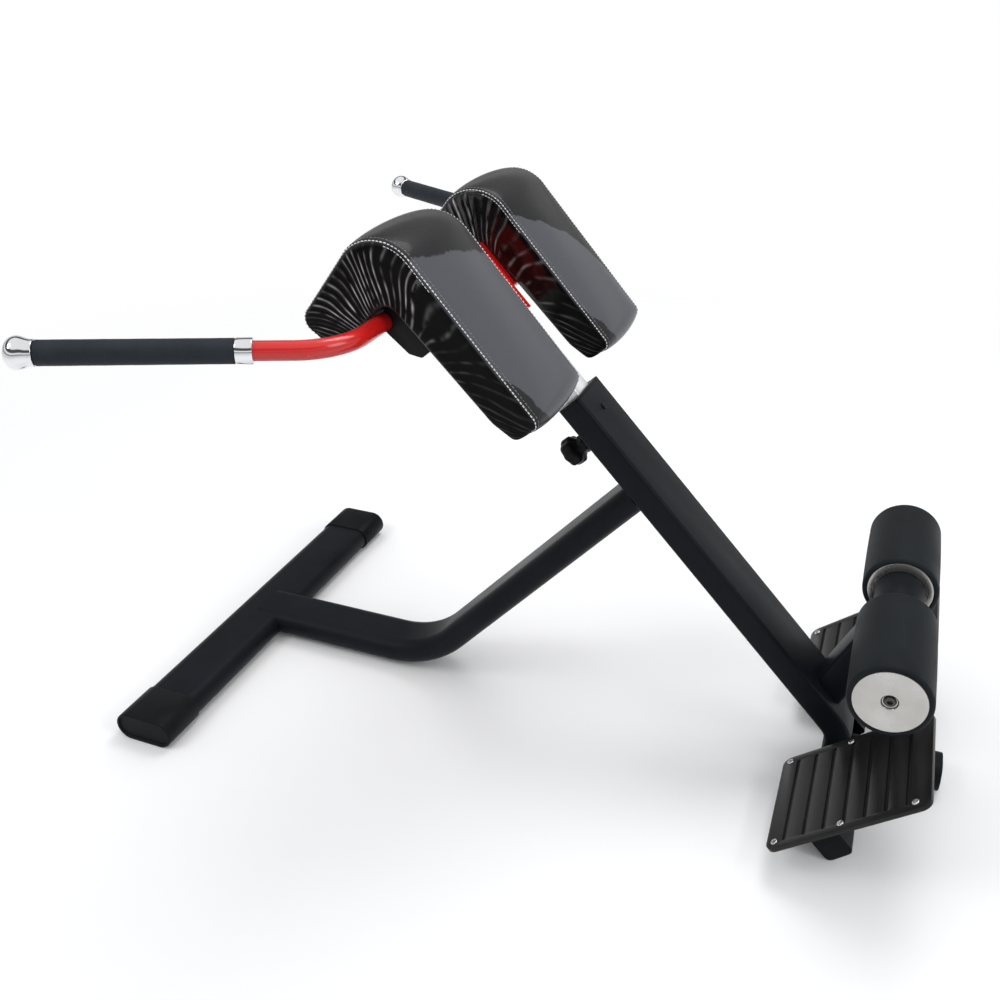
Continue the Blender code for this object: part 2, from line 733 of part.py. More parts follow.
def build_plates(paint, beam_axis):
    """Ribbed foot plates, each screwed to a channel that sits on the rear tube."""
    origin = beam_to_world(0.0, PLATE_STATION, 0.0)
    middle_x = (PLATE_INNER_X + PLATE_OUTER_X) / 2
    width = PLATE_OUTER_X - PLATE_INNER_X
    middle_y = PLATE_LENGTH / 2 - PLATE_FRONT_REACH
    for side, name in ((1, "right"), (-1, "left")):
        frame = make_empty(f"plate_frame_{name}", (side * middle_x, origin.y, origin.z),
                           (PLATE_TILT, 0.0, 0.0))
        outline = rectangle(width, PLATE_LENGTH, PLATE_CORNER, (0.0, middle_y), 5)
        plate = make_object(f"foot_plate_{name}", prism(upward, outline, -PLATE_THICK, 0.0), paint,
                            frame)
        grooves = []
        for number in range(GROOVE_COUNT):
            y = -PLATE_FRONT_REACH + GROOVE_FIRST + number * GROOVE_PITCH
            groove = rectangle(width - 2 * GROOVE_MARGIN, GROOVE_WIDTH, GROOVE_CORNER, (0.0, y), 2)
            grooves.append(prism(upward, groove, -GROOVE_DEPTH, GROOVE_DEPTH))
        combine(plate, grooves)
        build_channel(name, side, paint, frame, middle_x)


def build_channel(name, side, paint, frame, middle_x):
    """Channel, open below, along the underside of a foot plate and notched over the rear tube."""
    top = -PLATE_THICK - SEAT_GAP
    low = top - CHANNEL_DEPTH
    half = CHANNEL_WIDTH / 2
    outer = [(-half, low), (-half, top), (half, top), (half, low),
             (half - CHANNEL_WALL, low), (half - CHANNEL_WALL, top - CHANNEL_WALL),
             (CHANNEL_WALL - half, top - CHANNEL_WALL), (CHANNEL_WALL - half, low)]
    shift = side * (PLATE_INNER_X + CHANNEL_INSET + half - middle_x)
    outline = [(a + shift, b) for a, b in outer]
    start = -PLATE_FRONT_REACH + CHANNEL_MARGIN
    end = PLATE_LENGTH - PLATE_FRONT_REACH - CHANNEL_MARGIN
    channel = make_object(f"plate_channel_{name}", prism(down, outline, start, end), paint, frame)
    tilt = PLATE_TILT + BEAM_SLOPE
    notch = []
    for s, n in rear_outline(SEAT_GAP, REAR_TUBE_CORNER + SEAT_GAP):
        along = s - PLATE_STATION
        notch.append((along * math.cos(tilt) + n * math.sin(tilt),
                      n * math.cos(tilt) - along * math.sin(tilt)))
    combine(channel, prism(across, notch, shift - CHANNEL_WIDTH, shift + CHANNEL_WIDTH))


# Roller arm, hub, axle and rollers

def build_roller_arm(paint, beam_axis):
    """Square tube from the beam's upper face to the hub, coped round the hub tube."""
    foot = Vector((ARM_STATION, 0.0))
    head = Vector((ROLLER_STATION, ROLLER_HEIGHT))
    along = (head - foot).normalized()
    side_way = Vector((along.y, -along.x))
    skins = []
    for wall in (0.0, ARM_WALL):
        outline = rectangle(ARM_WIDTH - 2 * wall, ARM_DEPTH - 2 * wall, ARM_CORNER - wall)
        rings = []
        low = []
        high = []
        for x, b in outline:
            base = foot + side_way * b
            reach = (SEAT_GAP - base.y) / along.y
            start = base + along * reach
            low.append((x, start.x, start.y))
            end = head + side_way * b
            high.append((x, end.x, end.y))
        rings = [low, high]
        skins.append(rings)
    arm = make_object("roller_arm", loft(*skins), paint, beam_axis)
    hub = turned_to(rod(HUB_RADIUS + SEAT_GAP, -ARM_WIDTH, ARM_WIDTH, ROUND_STEPS),
                    Matrix.Translation((0.0, ROLLER_STATION, ROLLER_HEIGHT)))
    combine(arm, hub)


def build_hub(paint, plastic, steel, screw_steel, axle_frame):
    half = HUB_LENGTH / 2
    bore = HUB_RADIUS - HUB_WALL
    make_object("roller_hub_tube", sleeve(HUB_RADIUS, bore, -half, half), paint, axle_frame)
    axle_half = ROLLER_OUTER_X - DISC_SINK - DISC_THICK - DISC_DISH_DEPTH - RUN_GAP
    axle = make_object("roller_axle", rod(AXLE_RADIUS, -axle_half, axle_half, 24), steel, axle_frame)
    holes = [rod(END_BOLT_RADIUS + SEAT_GAP, side * (axle_half - END_BOLT_LENGTH),
                 side * (axle_half + END_BOLT_LENGTH)) for side in (1, -1)]
    combine(axle, holes)
    for side, name in ((1, "right"), (-1, "left")):
        bush_bore = AXLE_RADIUS + SEAT_GAP
        stem = bore - SEAT_GAP
        profile = [(half - HUB_BUSH_DEPTH, bush_bore), (half - HUB_BUSH_DEPTH, stem),
                   (half + SEAT_GAP, stem), (half + SEAT_GAP, HUB_RADIUS),
                   (half + SEAT_GAP + HUB_FLANGE, HUB_RADIUS), (half + SEAT_GAP + HUB_FLANGE, bush_bore)]
        mirrored = [(side * t, radius) for t, radius in profile]
        make_object(f"hub_bushing_{name}", turned(mirrored), plastic, axle_frame)
        seat = axle_half + SEAT_GAP
        tip = seat - END_BOLT_LENGTH + 2 * SEAT_GAP
        top = seat + END_BOLT_HEAD
        key = top - HEX_KEY_DEPTH
        profile = [(tip, 0.0), (tip, END_BOLT_RADIUS), (seat, END_BOLT_RADIUS),
                   (seat, END_BOLT_HEAD_RADIUS), (top - EDGE_BREAK, END_BOLT_HEAD_RADIUS),
                   (top, END_BOLT_HEAD_RADIUS - EDGE_BREAK), (top, HEX_KEY_RADIUS),
                   (key, HEX_KEY_RADIUS), (key, 0.0)]
        mirrored = [(side * t, radius) for t, radius in profile]
        make_object(f"end_bolt_{name}", turned(mirrored, SMALL_STEPS, closed=False), screw_steel,
                    axle_frame)


def build_roller(name, side, foam, plastic, chrome, axis_frame):
    """One roller: foam on a core tube that turns on the axle, with a disc on each end."""
    core_bore = AXLE_RADIUS + RUN_GAP
    core_outer = core_bore + CORE_WALL
    inner_face = ROLLER_INNER_X + DISC_SINK
    outer_face = ROLLER_OUTER_X - DISC_SINK
    core_start = inner_face + DISC_THICK + SEAT_GAP
    core_end = outer_face - DISC_THICK - DISC_DISH_DEPTH - SEAT_GAP
    spin = [(core_start, core_bore), (core_start, core_outer), (core_end, core_outer),
            (core_end, core_bore)]
    make_object(f"roller_core_{name}", turned([(side * t, r) for t, r in spin], 24), plastic,
                axis_frame)
    foam_bore = core_outer + SEAT_GAP
    disc_seat = DISC_RADIUS + SEAT_GAP
    lip = []
    for step in range(4):
        angle = math.pi / 2 * step / 3
        lip.append((ROLLER_LIP * (1 - math.sin(angle)), ROLLER_RADIUS - ROLLER_LIP * (1 - math.cos(angle))))
    near = [(ROLLER_INNER_X + t, r) for t, r in lip]
    far = [(ROLLER_OUTER_X - t, r) for t, r in reversed(lip)]
    back_in = inner_face + DISC_THICK + SEAT_GAP
    back_out = outer_face - DISC_THICK - SEAT_GAP
    profile = [(back_in, foam_bore), (back_in, disc_seat), (ROLLER_INNER_X, disc_seat)]
    profile += list(reversed(near))
    profile += list(reversed(far))
    profile += [(ROLLER_OUTER_X, disc_seat), (back_out, disc_seat), (back_out, foam_bore)]
    make_object(f"roller_foam_{name}", turned([(side * t, r) for t, r in profile]), foam, axis_frame)
    hole = AXLE_RADIUS + RUN_GAP
    ring = [(inner_face, INNER_DISC_WINDOW), (inner_face, DISC_RADIUS - EDGE_BREAK),
            (inner_face + EDGE_BREAK, DISC_RADIUS), (inner_face + DISC_THICK, DISC_RADIUS),
            (inner_face + DISC_THICK, hole), (inner_face + DISC_THICK / 2, hole),
            (inner_face + DISC_THICK / 2, INNER_DISC_WINDOW)]
    make_object(f"roller_inner_disc_{name}", turned([(side * t, r) for t, r in ring]), chrome,
                axis_frame)
    dish_floor = outer_face - DISC_DISH_DEPTH
    disc = [(outer_face, DISC_DISH_RADIUS), (outer_face, DISC_RADIUS - EDGE_BREAK),
            (outer_face - EDGE_BREAK, DISC_RADIUS), (outer_face - DISC_THICK, DISC_RADIUS),
            (outer_face - DISC_THICK, DISC_DISH_RADIUS + DISC_THICK / 2),
            (dish_floor - DISC_THICK, DISC_DISH_RADIUS - DISC_THICK / 2),
            (dish_floor - DISC_THICK, DISC_HOLE_RADIUS), (dish_floor, DISC_HOLE_RADIUS),
            (dish_floor, DISC_DISH_RADIUS - DISC_THICK)]
    make_object(f"roller_outer_disc_{name}", turned([(side * t, r) for t, r in disc]), chrome,
                axis_frame)


# Pull-pin

def build_plunger(paint, steel, plastic, beam_axis, plunger_axis):
    """Housing on the beam's underside, and the pin with its knob, drawn out along -n."""
    face = BEAM_DEPTH + SEAT_GAP
    bore = PIN_RADIUS + RUN_GAP
    end = face + HOUSING_LENGTH
    hex_start = end - HOUSING_HEX_LENGTH
    profile = [(face, bore), (face, HOUSING_RADIUS), (hex_start, HOUSING_RADIUS),
               (hex_start, HOUSING_HEX_RADIUS), (end - EDGE_BREAK, HOUSING_HEX_RADIUS),
               (end, HOUSING_HEX_RADIUS - EDGE_BREAK), (end, bore)]
    drop = Matrix.Translation((0.0, PIN_STATION, 0.0)) @ Matrix.Rotation(math.pi / 2, 4, "Y")
    make_object("plunger_housing", turned_to(turned(profile, 24), drop), paint, beam_axis)
    to_post = BEAM_DEPTH / 2 + POST_DEPTH / 2 + RUN_GAP
    knob_start = end + RUN_GAP
    pin_end = knob_start + PIN_IN_KNOB
    turn = Matrix.Rotation(math.pi / 2, 4, "Y")
    profile = [(to_post, 0.0), (to_post, PIN_RADIUS - EDGE_BREAK), (to_post + EDGE_BREAK, PIN_RADIUS),
               (pin_end, PIN_RADIUS), (pin_end, 0.0)]
    make_object("plunger_pin", turned_to(turned(profile, SMALL_STEPS, closed=False), turn), steel,
                plunger_axis)
    knob_end = knob_start + KNOB_LENGTH
    knob_steps = 2 * KNOB_LOBES
    outline = [(knob_start, KNOB_COLLAR_RADIUS), (knob_start + KNOB_NECK, KNOB_NECK_RADIUS),
               (knob_start + KNOB_SHOULDER, KNOB_RADIUS), (knob_end - KNOB_CROWN, KNOB_RADIUS),
               (knob_end - KNOB_TOP, KNOB_CROWN_RADIUS), (knob_end, KNOB_TOP_RADIUS)]
    rings = []
    for t, radius in outline:
        ring = []
        for step in range(knob_steps * 2):
            angle = math.pi * step / knob_steps
            wave = KNOB_SCALLOP * radius / KNOB_RADIUS * (math.cos(KNOB_LOBES * angle) - 1.0)
            ring.append(((radius + wave) * math.cos(angle), (radius + wave) * math.sin(angle), -t))
        rings.append(ring)
    knob = make_object("plunger_knob", loft(rings), plastic, plunger_axis)
    combine(knob, turned_to(rod(PIN_RADIUS + SEAT_GAP, knob_start - PIN_IN_KNOB, pin_end + SEAT_GAP),
                            turn))


# Carriage

def bar_centre():
    """World (y, z) of the handlebar's straight run."""
    point = beam_to_world(0.0, BAR_STATION, -BAR_DROP)
    return point.y, point.z


def bar_path(side):
    """Points and directions of one half of the handlebar, from the middle outwards."""
    y, z = bar_centre()
    forward = Vector((0.0, -math.cos(BAR_LIFT), math.sin(BAR_LIFT)))
    out = Vector((side, 0.0, 0.0))
    start = Vector((side * BAR_STRAIGHT_HALF, y, z))
    stations = []
    for step in range(BEND_STEPS + 1):
        angle = BAR_BEND_ANGLE * step / BEND_STEPS
        point = start + out * BAR_BEND_RADIUS * math.sin(angle)
        point += forward * BAR_BEND_RADIUS * (1 - math.cos(angle))
        heading = out * math.cos(angle) + forward * math.sin(angle)
        stations.append((point, heading))
    point, heading = stations[-1]
    stations.append((point + heading * (BAR_END + BAR_INTO_CAP), heading))
    return stations


def grip_matrix(side):
    """Matrix that puts the X axis along a grip, with its zero where the bend ends."""
    point, heading = bar_path(side)[-2]
    turn = heading.to_track_quat("X", "Z").to_matrix().to_4x4()
    return Matrix.Translation(point) @ turn


def build_handlebar(red):
    upright = Vector((0.0, math.sin(BAR_LIFT), math.cos(BAR_LIFT)))
    right = bar_path(1)
    left = [(point, -heading) for point, heading in reversed(bar_path(-1))]
    skins = []
    for radius in (BAR_RADIUS, BAR_RADIUS - BAR_WALL):
        rings = []
        for point, heading in left + right:
            level = heading.cross(upright).normalized()
            ring = []
            for step in range(TUBE_STEPS):
                angle = 2 * math.pi * step / TUBE_STEPS
                ring.append(tuple(point + (level * math.cos(angle) + upright * math.sin(angle)) * radius))
            rings.append(ring)
        skins.append(rings)
    return make_object("handlebar", loft(*skins), red, smooth=40.0)


def build_grips(chrome, rubber):
    bore = BAR_RADIUS + SEAT_GAP
    for side, name in ((1, "right"), (-1, "left")):
        matrix = grip_matrix(side)
        end = COLLAR_START + COLLAR_LENGTH
        bead = EDGE_BREAK
        profile = [(COLLAR_START, bore), (COLLAR_START, COLLAR_RADIUS - bead),
                   (COLLAR_START + bead, COLLAR_RADIUS), (end - bead, COLLAR_RADIUS),
                   (end, COLLAR_RADIUS - bead), (end, bore)]
        make_object(f"collar_{name}", turned_to(turned(profile, 24), matrix), chrome)
        start = end + SEAT_GAP
        end = start + GRIP_LENGTH - 2 * SEAT_GAP
        make_object(f"grip_{name}", turned_to(sleeve(GRIP_RADIUS, bore, start, end, 24), matrix),
                    rubber)
        start = end + SEAT_GAP
        end = start + CAP_LENGTH
        socket_end = BAR_END + BAR_INTO_CAP + SEAT_GAP
        crown = [(end - CAP_CROWN * (1 - math.sin(angle)), CAP_RADIUS * math.cos(angle))
                 for angle in (math.pi / 2 * step / 5 for step in range(6))]
        profile = [(socket_end, 0.0), (socket_end, bore), (start, bore),
                   (start, CAP_NECK_RADIUS - EDGE_BREAK), (start + EDGE_BREAK, CAP_NECK_RADIUS),
                   (start + CAP_SLEEVE, CAP_NECK_RADIUS),
                   (start + CAP_SLEEVE + CAP_FLARE, CAP_RADIUS)]
        profile += crown
        make_object(f"grip_cap_{name}", turned_to(turned(profile, 24, closed=False), matrix), chrome)


def build_post(chrome, carriage_axis):
    mid = (0.0, POST_MID)
    skins = []
    for wall in (0.0, POST_WALL):
        outline = rectangle(POST_WIDTH - 2 * wall, POST_DEPTH - 2 * wall, POST_CORNER - wall, mid)
        skins.append([[(a, t, b) for a, b in outline] for t in (POST_TOP, POST_BOTTOM)])
    post = make_object("post", loft(*skins), chrome, carriage_axis)
    holes = []
    under = POST_MID - POST_DEPTH / 2
    for number in range(-INDEX_BELOW, INDEX_ABOVE + 1):
        place = axis_along_n(0.0, PIN_STATION + number * INDEX_PITCH, under)
        holes.append(turned_to(rod(INDEX_RADIUS, -2 * POST_WALL, 2 * POST_WALL, 12), place))
    combine(post, holes)


def cross_corners():
    """Side outline of the cross member and the brackets, clockwise seen from +X."""
    return [(CROSS_FRONT, -CROSS_TOP_DROP), (CROSS_FRONT, -CROSS_NOSE_DROP),
            (CROSS_TOE_STATION, -CROSS_TOE_DROP), (CROSS_HEEL_STATION, -CROSS_HEEL_DROP),
            (CROSS_REAR, -CROSS_BACK_DROP), (CROSS_REAR, -CROSS_TOP_DROP)]


def cross_outline():
    radii = [CROSS_FILLET / 2, 0.0, 0.0, CROSS_FILLET, CROSS_FILLET, CROSS_FILLET / 2]
    return filleted(cross_corners(), radii, CORNER_STEPS)


def bar_groove(start, end):
    return turned_to(rod(BAR_RADIUS + SEAT_GAP, start, end, TUBE_STEPS),
                     Matrix.Translation((0.0, BAR_STATION, -BAR_DROP)))


def build_cross(red, carriage_axis):
    """Welded cross member: it rides on the post's top end and carries the bar and both brackets."""
    cross = make_object("carriage_cross", prism(across, cross_outline(), -CROSS_HALF_WIDTH,
                                                CROSS_HALF_WIDTH), red, carriage_axis)
    neck = rectangle(POST_WIDTH + 2 * NECK_WALL, POST_DEPTH + 2 * NECK_WALL, NECK_WALL,
                     (0.0, POST_MID))
    combine(cross, prism(down, neck, POST_TOP - NECK_WALL, NECK_REAR), "UNION")
    socket = rectangle(POST_WIDTH + 2 * SEAT_GAP, POST_DEPTH + 2 * SEAT_GAP, POST_CORNER,
                       (0.0, POST_MID))
    combine(cross, prism(down, socket, POST_TOP - SEAT_GAP, NECK_REAR + NECK_WALL))
    combine(cross, bar_groove(-2 * CROSS_HALF_WIDTH, 2 * CROSS_HALF_WIDTH))
    nose = Vector((CROSS_FRONT, -CROSS_NOSE_DROP))
    toe = Vector((CROSS_TOE_STATION, -CROSS_TOE_DROP))
    along = (toe - nose).normalized()
    bar_out = (Vector((BAR_STATION, -BAR_DROP)) - nose).dot(Vector((-along.y, along.x)))
    saddle = BAR_RADIUS + SEAT_GAP + CROSS_WALL + bar_out
    shoulder = nose + along * ((CROSS_NOSE_DROP - CROSS_TOP_DROP) / along.y)
    pocket = moved_in([tuple(shoulder)] + cross_corners()[2:], [saddle] + [CROSS_WALL] * 4)
    pockets = [prism(across, pocket, side * CROSS_POCKET_X, side * 2 * CROSS_HALF_WIDTH)
               for side in (1, -1)]
    combine(cross, pockets)


def build_brackets(plastic, wood, screw_steel, carriage_axis):
    for side, name in ((1, "right"), (-1, "left")):
        start = side * (CROSS_HALF_WIDTH + SEAT_GAP)
        bracket = make_object(f"pad_bracket_{name}", prism(across, cross_outline(), start,
                                                           side * BRACKET_OUTER_X), plastic,
                              carriage_axis)
        combine(bracket, bar_groove(side * CROSS_HALF_WIDTH / 2, side * 2 * BRACKET_OUTER_X))
        board = make_object(f"pad_board_{name}", board_solid(side), wood, carriage_axis)
        seats = []
        board_holes = []
        for number, x in enumerate((PAD_BOLT_INNER_X, PAD_BOLT_OUTER_X), 1):
            place = axis_along_n(side * x, PAD_BOLT_STATION, 0.0)
            tip = PAD_BOLT_BITE - CROSS_TOP_DROP
            hole = PAD_BOLT_RADIUS + SEAT_GAP
            profile = [(-2 * CROSS_TOE_DROP, 0.0), (-2 * CROSS_TOE_DROP, COUNTERBORE_RADIUS),
                       (-PAD_BOLT_SEAT, COUNTERBORE_RADIUS), (-PAD_BOLT_SEAT, hole), (0.0, hole),
                       (0.0, 0.0)]
            seats.append(turned_to(turned(profile, SMALL_STEPS, closed=False), place))
            board_holes.append(turned_to(rod(hole, -CROSS_TOE_DROP, tip + SEAT_GAP), place))
            seat = -PAD_BOLT_SEAT - SEAT_GAP
            head = seat - PAD_BOLT_HEAD
            profile = [(head, 0.0), (head, PAD_BOLT_HEAD_RADIUS - EDGE_BREAK),
                       (head + EDGE_BREAK, PAD_BOLT_HEAD_RADIUS), (seat, PAD_BOLT_HEAD_RADIUS),
                       (seat, PAD_BOLT_RADIUS), (tip, PAD_BOLT_RADIUS), (tip, 0.0)]
            make_object(f"pad_bolt_{name}_{number}",
                        turned_to(turned(profile, SMALL_STEPS, closed=False), place), screw_steel,
                        carriage_axis)
        combine(bracket, seats)
        combine(board, board_holes)


def board_solid(side, grow=0.0, below=0.0):
    """Plywood board that lies on the bracket and carries the cushion, or the pocket for it."""
    low = -CROSS_TOP_DROP + SEAT_GAP
    middle = side * (PAD_INNER_X + PAD_OUTER_X) / 2
    width = PAD_OUTER_X - PAD_INNER_X - 2 * BOARD_MARGIN
    outline = rectangle(width + 2 * grow, BOARD_REAR - BOARD_FRONT + 2 * grow, BOARD_CORNER,
                        (middle, (BOARD_FRONT + BOARD_REAR) / 2))
    return prism(upward, outline, low - below, low + BOARD_THICK + grow)


def pad_corners():
    """Side outline of a pad at its seams: each corner's place, radius and share of the crown."""
    rear = Vector((math.cos(PAD_REAR_SLOPE), -math.sin(PAD_REAR_SLOPE)))
    rear_out = Vector((math.sin(PAD_REAR_SLOPE), math.cos(PAD_REAR_SLOPE)))
    front = Vector((-math.cos(PAD_FRONT_SLOPE), -math.sin(PAD_FRONT_SLOPE)))
    front_out = Vector((-math.sin(PAD_FRONT_SLOPE), math.cos(PAD_FRONT_SLOPE)))
    apex = Vector((PAD_APEX_Y - CENTRE_Y, PAD_APEX_Z))
    tip = apex + rear * PAD_REAR_LENGTH
    lobe = apex + front * PAD_FRONT_LENGTH
    crease = apex + rear * PAD_CREASE_ALONG - rear_out * PAD_CREASE_DEEP
    return [(tip, PAD_TIP_RADIUS, 1.0), (apex, PAD_BEND_RADIUS, 1.0), (lobe, PAD_LOBE_RADIUS, 1.0),
            (lobe - front_out * PAD_LOBE_THICK, PAD_LOBE_RADIUS, 0.0),
            (crease, PAD_CREASE_RADIUS, 0.0),
            (tip - rear_out * PAD_THICK - rear * PAD_TIP_TAPER, PAD_TAPER_RADIUS, 0.0),
            (tip - rear_out * PAD_TIP_THICK, PAD_TIP_RADIUS, 0.5)]


def pad_outline():
    """Points round the pad's side view, and the share of the crown that each one gets."""
    corners = pad_corners()
    steps = {PAD_BEND_RADIUS: 10, PAD_CREASE_RADIUS: 3, PAD_TAPER_RADIUS: 3}
    points = []
    for index, (corner, radius, crown) in enumerate(corners):
        trio = [corners[index - 1][0], corner, corners[(index + 1) % len(corners)][0]]
        arc = filleted([tuple(place) for place in trio], [0.0, radius, 0.0], steps.get(radius, 5))
        points += [(Vector(place), crown) for place in arc[1:-1]]
    filled = []
    crowns = []
    for index, (point, crown) in enumerate(points):
        after, next_crown = points[(index + 1) % len(points)]
        pieces = max(1, round((after - point).length / PAD_FACET))
        for piece in range(pieces):
            filled.append(point.lerp(after, piece / pieces))
            crowns.append(crown + (next_crown - crown) * piece / pieces)
    return filled, crowns


def outline_normals(points):
    normals = []
    for index, point in enumerate(points):
        along = points[(index + 1) % len(points)] - points[index - 1]
        normals.append(Vector((along.y, -along.x)).normalized())
    centre = sum(points, Vector((0.0, 0.0))) / len(points)
    outward = sum((point - centre).dot(normal) for point, normal in zip(points, normals))
    return normals if outward > 0.0 else [-normal for normal in normals]


def build_pad(name, side, vinyl, carriage_axis):
    """Bent cushion: a crowned top panel, drawn-in side panels and a flat-ish underside."""
    points, crowns = pad_outline()
    normals = outline_normals(points)
    width = PAD_OUTER_X - PAD_INNER_X
    middle = side * (PAD_INNER_X + PAD_OUTER_X) / 2
    rows = []
    for sink, inset in PAD_SIDE_ROWS:
        rows.append((sink * PAD_DRAWN_IN - width / 2, -inset * PAD_EDGE_ROUND, 0.0))
    for step in range(PAD_STATIONS + 1):
        share = step / PAD_STATIONS
        x = (share - 0.5) * (width - 2 * PAD_EDGE_ROUND * PAD_SEAM_ROLL)
        inside = 0 < step < PAD_STATIONS
        rows.append((x, 0.0, math.sin(math.pi * share) ** PAD_CROWN_POWER if inside else 0.0))
    rows += [(-x, offset, crown) for x, offset, crown in reversed(rows[:3])]
    rings = []
    for x, offset, crown in rows:
        ring = []
        for point, normal, share in zip(points, normals, crowns):
            place = point + normal * (offset + crown * share * PAD_CROWN)
            s, n = world_to_beam(place.x, place.y)
            ring.append((middle + x, s, n))
        rings.append(ring)
    pad = make_object(f"pad_{name}", loft(rings), vinyl, carriage_axis, smooth=50.0)
    combine(pad, board_solid(side, SEAT_GAP, BOARD_POCKET_BELOW))


def main():
    clear_scene()
    paint = make_material("black_powder_coat", (0.018, 0.019, 0.022), 0.42, 0.0)
    red = make_material("red_paint", (0.62, 0.02, 0.02), 0.22, 0.0)
    chrome = make_material("chrome", (0.78, 0.79, 0.80), 0.10, 1.0)
    steel = make_material("steel", (0.55, 0.56, 0.58), 0.32, 1.0)
    rubber = make_material("boot_rubber", (0.030, 0.031, 0.034), 0.62, 0.0)
    grip_rubber = make_material("grip_rubber", (0.016, 0.017, 0.019), 0.70, 0.0)
    foam = make_material("roller_foam", (0.026, 0.027, 0.030), 0.78, 0.0)
    vinyl = make_material("pad_vinyl", (0.045, 0.046, 0.050), 0.30, 0.0)
    plastic = make_material("black_plastic", (0.016, 0.016, 0.018), 0.48, 0.0)
    wood = make_material("plywood", (0.46, 0.33, 0.20), 0.70, 0.0)
    screw_steel = make_material("screw_steel", (0.50, 0.51, 0.53), 0.30, 1.0)

    beam_axis = make_empty("beam_axis", BEAM_ORIGIN, BEAM_TURN)
    carriage_axis = make_empty("carriage_axis", BEAM_ORIGIN, BEAM_TURN)
    plunger_axis = make_empty("plunger_axis", beam_to_world(0.0, PIN_STATION, 0.0), BEAM_TURN)
    axle_place = beam_to_world(0.0, ROLLER_STATION, ROLLER_HEIGHT)
    axle_frame = make_empty("axle_frame", axle_place)

    build_front(paint, rubber)
    build_spine(paint)
    build_beam(paint, beam_axis)
    build_bushing(plastic, screw_steel, beam_axis)
    build_tail(paint, rubber, plastic)
    build_rear(paint, rubber, beam_axis)
    build_plates(paint, beam_axis)
    build_roller_arm(paint, beam_axis)
    build_hub(paint, plastic, steel, screw_steel, axle_frame)
    build_plunger(paint, steel, plastic, beam_axis, plunger_axis)

    build_post(chrome, carriage_axis)
    build_cross(red, carriage_axis)
    build_handlebar(red)
    build_grips(chrome, grip_rubber)
    build_brackets(plastic, wood, screw_steel, carriage_axis)
    for side, name in ((1, "right"), (-1, "left")):
        build_pad(name, side, vinyl, carriage_axis)
        roller_axis = make_empty(f"roller_axis_{name}", axle_place)
        build_roller(name, side, foam, plastic, chrome, roller_axis)


main()
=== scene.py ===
import math

import bmesh
import bpy
from mathutils import Matrix, Vector, noise
from mathutils.bvhtree import BVHTree


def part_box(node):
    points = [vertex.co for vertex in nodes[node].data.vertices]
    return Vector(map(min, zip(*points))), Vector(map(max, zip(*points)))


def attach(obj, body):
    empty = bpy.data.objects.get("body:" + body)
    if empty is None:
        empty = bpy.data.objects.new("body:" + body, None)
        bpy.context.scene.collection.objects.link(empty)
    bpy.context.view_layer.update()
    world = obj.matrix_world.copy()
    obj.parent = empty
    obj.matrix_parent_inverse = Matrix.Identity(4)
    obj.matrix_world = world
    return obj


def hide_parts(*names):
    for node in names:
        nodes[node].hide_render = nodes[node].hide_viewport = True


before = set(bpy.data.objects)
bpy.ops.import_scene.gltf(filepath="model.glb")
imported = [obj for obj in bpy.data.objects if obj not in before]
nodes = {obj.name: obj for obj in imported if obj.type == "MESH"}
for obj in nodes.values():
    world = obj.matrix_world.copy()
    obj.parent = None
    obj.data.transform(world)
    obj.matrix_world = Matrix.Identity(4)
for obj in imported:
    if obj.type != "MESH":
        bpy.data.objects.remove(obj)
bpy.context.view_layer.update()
sides = ((1, "right", "Right"), (-1, "left", "Left"))
print("frame loaded:", len(nodes), "nodes")


# Places, worked out from the frame
def middle(node):
    low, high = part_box(node)
    return (low + high) / 2


frontY = middle("front_stabilizer").y
axleCentre = middle("roller_axle")
beam = {"slope": math.radians(46.72), "topY": 0.628, "topZ": 0.5816, "width": 0.100, "depth": 0.040}
beamTop = Vector((0.0, frontY + beam["topY"], beam["topZ"]))
downBeam = Vector((0.0, math.cos(beam["slope"]), -math.sin(beam["slope"])))
outOfBeam = Vector((0.0, math.sin(beam["slope"]), math.cos(beam["slope"])))


def onBeam(x, s, n):  # s runs down the beam from its top end, n out of its upper face
    return beamTop + Vector((x, 0.0, 0.0)) + downBeam * s + outOfBeam * n


def newObject(add, name=None, **settings):  # what an operator adds, under a name of its own
    bpy.ops.object.select_all(action="DESELECT")
    add(**settings)
    made = bpy.context.active_object
    if name:
        made.name = name
    return made


# Steps that the shaders share
def setInputs(tree, node, inputs):  # an input is a constant or another node's output
    for socket, value in inputs.items():
        if isinstance(value, bpy.types.NodeSocket):
            tree.links.new(value, node.inputs[socket])
        else:
            node.inputs[socket].default_value = value


def addNode(tree, kind, inputs=None, **settings):
    node = tree.nodes.new(f"ShaderNode{kind}")
    for key, value in settings.items():
        setattr(node, key, value)
    setInputs(tree, node, inputs or {})
    return node


def startMaterial(name):
    material = bpy.data.materials.new(name)
    material.use_nodes = True
    tree = material.node_tree
    return material, tree, tree.nodes["Principled BSDF"]


def blendTones(tree, mask, first, second):  # a tone is a colour or another node's output
    tones = [(*tone, 1.0) if isinstance(tone, tuple) else tone for tone in (first, second)]
    mix = addNode(tree, "Mix", {}, data_type="RGBA")
    setInputs(tree, mix, {"A": tones[0], "B": tones[1], "Factor": mask})
    return mix.outputs["Result"]


# Camera, at the photograph's angle
camera = {
    "place": Vector((1.3826, frontY + 1.0329, 1.1723)),
    "yaw": math.radians(21.329),
    "pitch": math.radians(27.654),
    "lens": 37.072,
    "sensor": 36.0,
    "shift": (-0.0055, -0.01625),
}


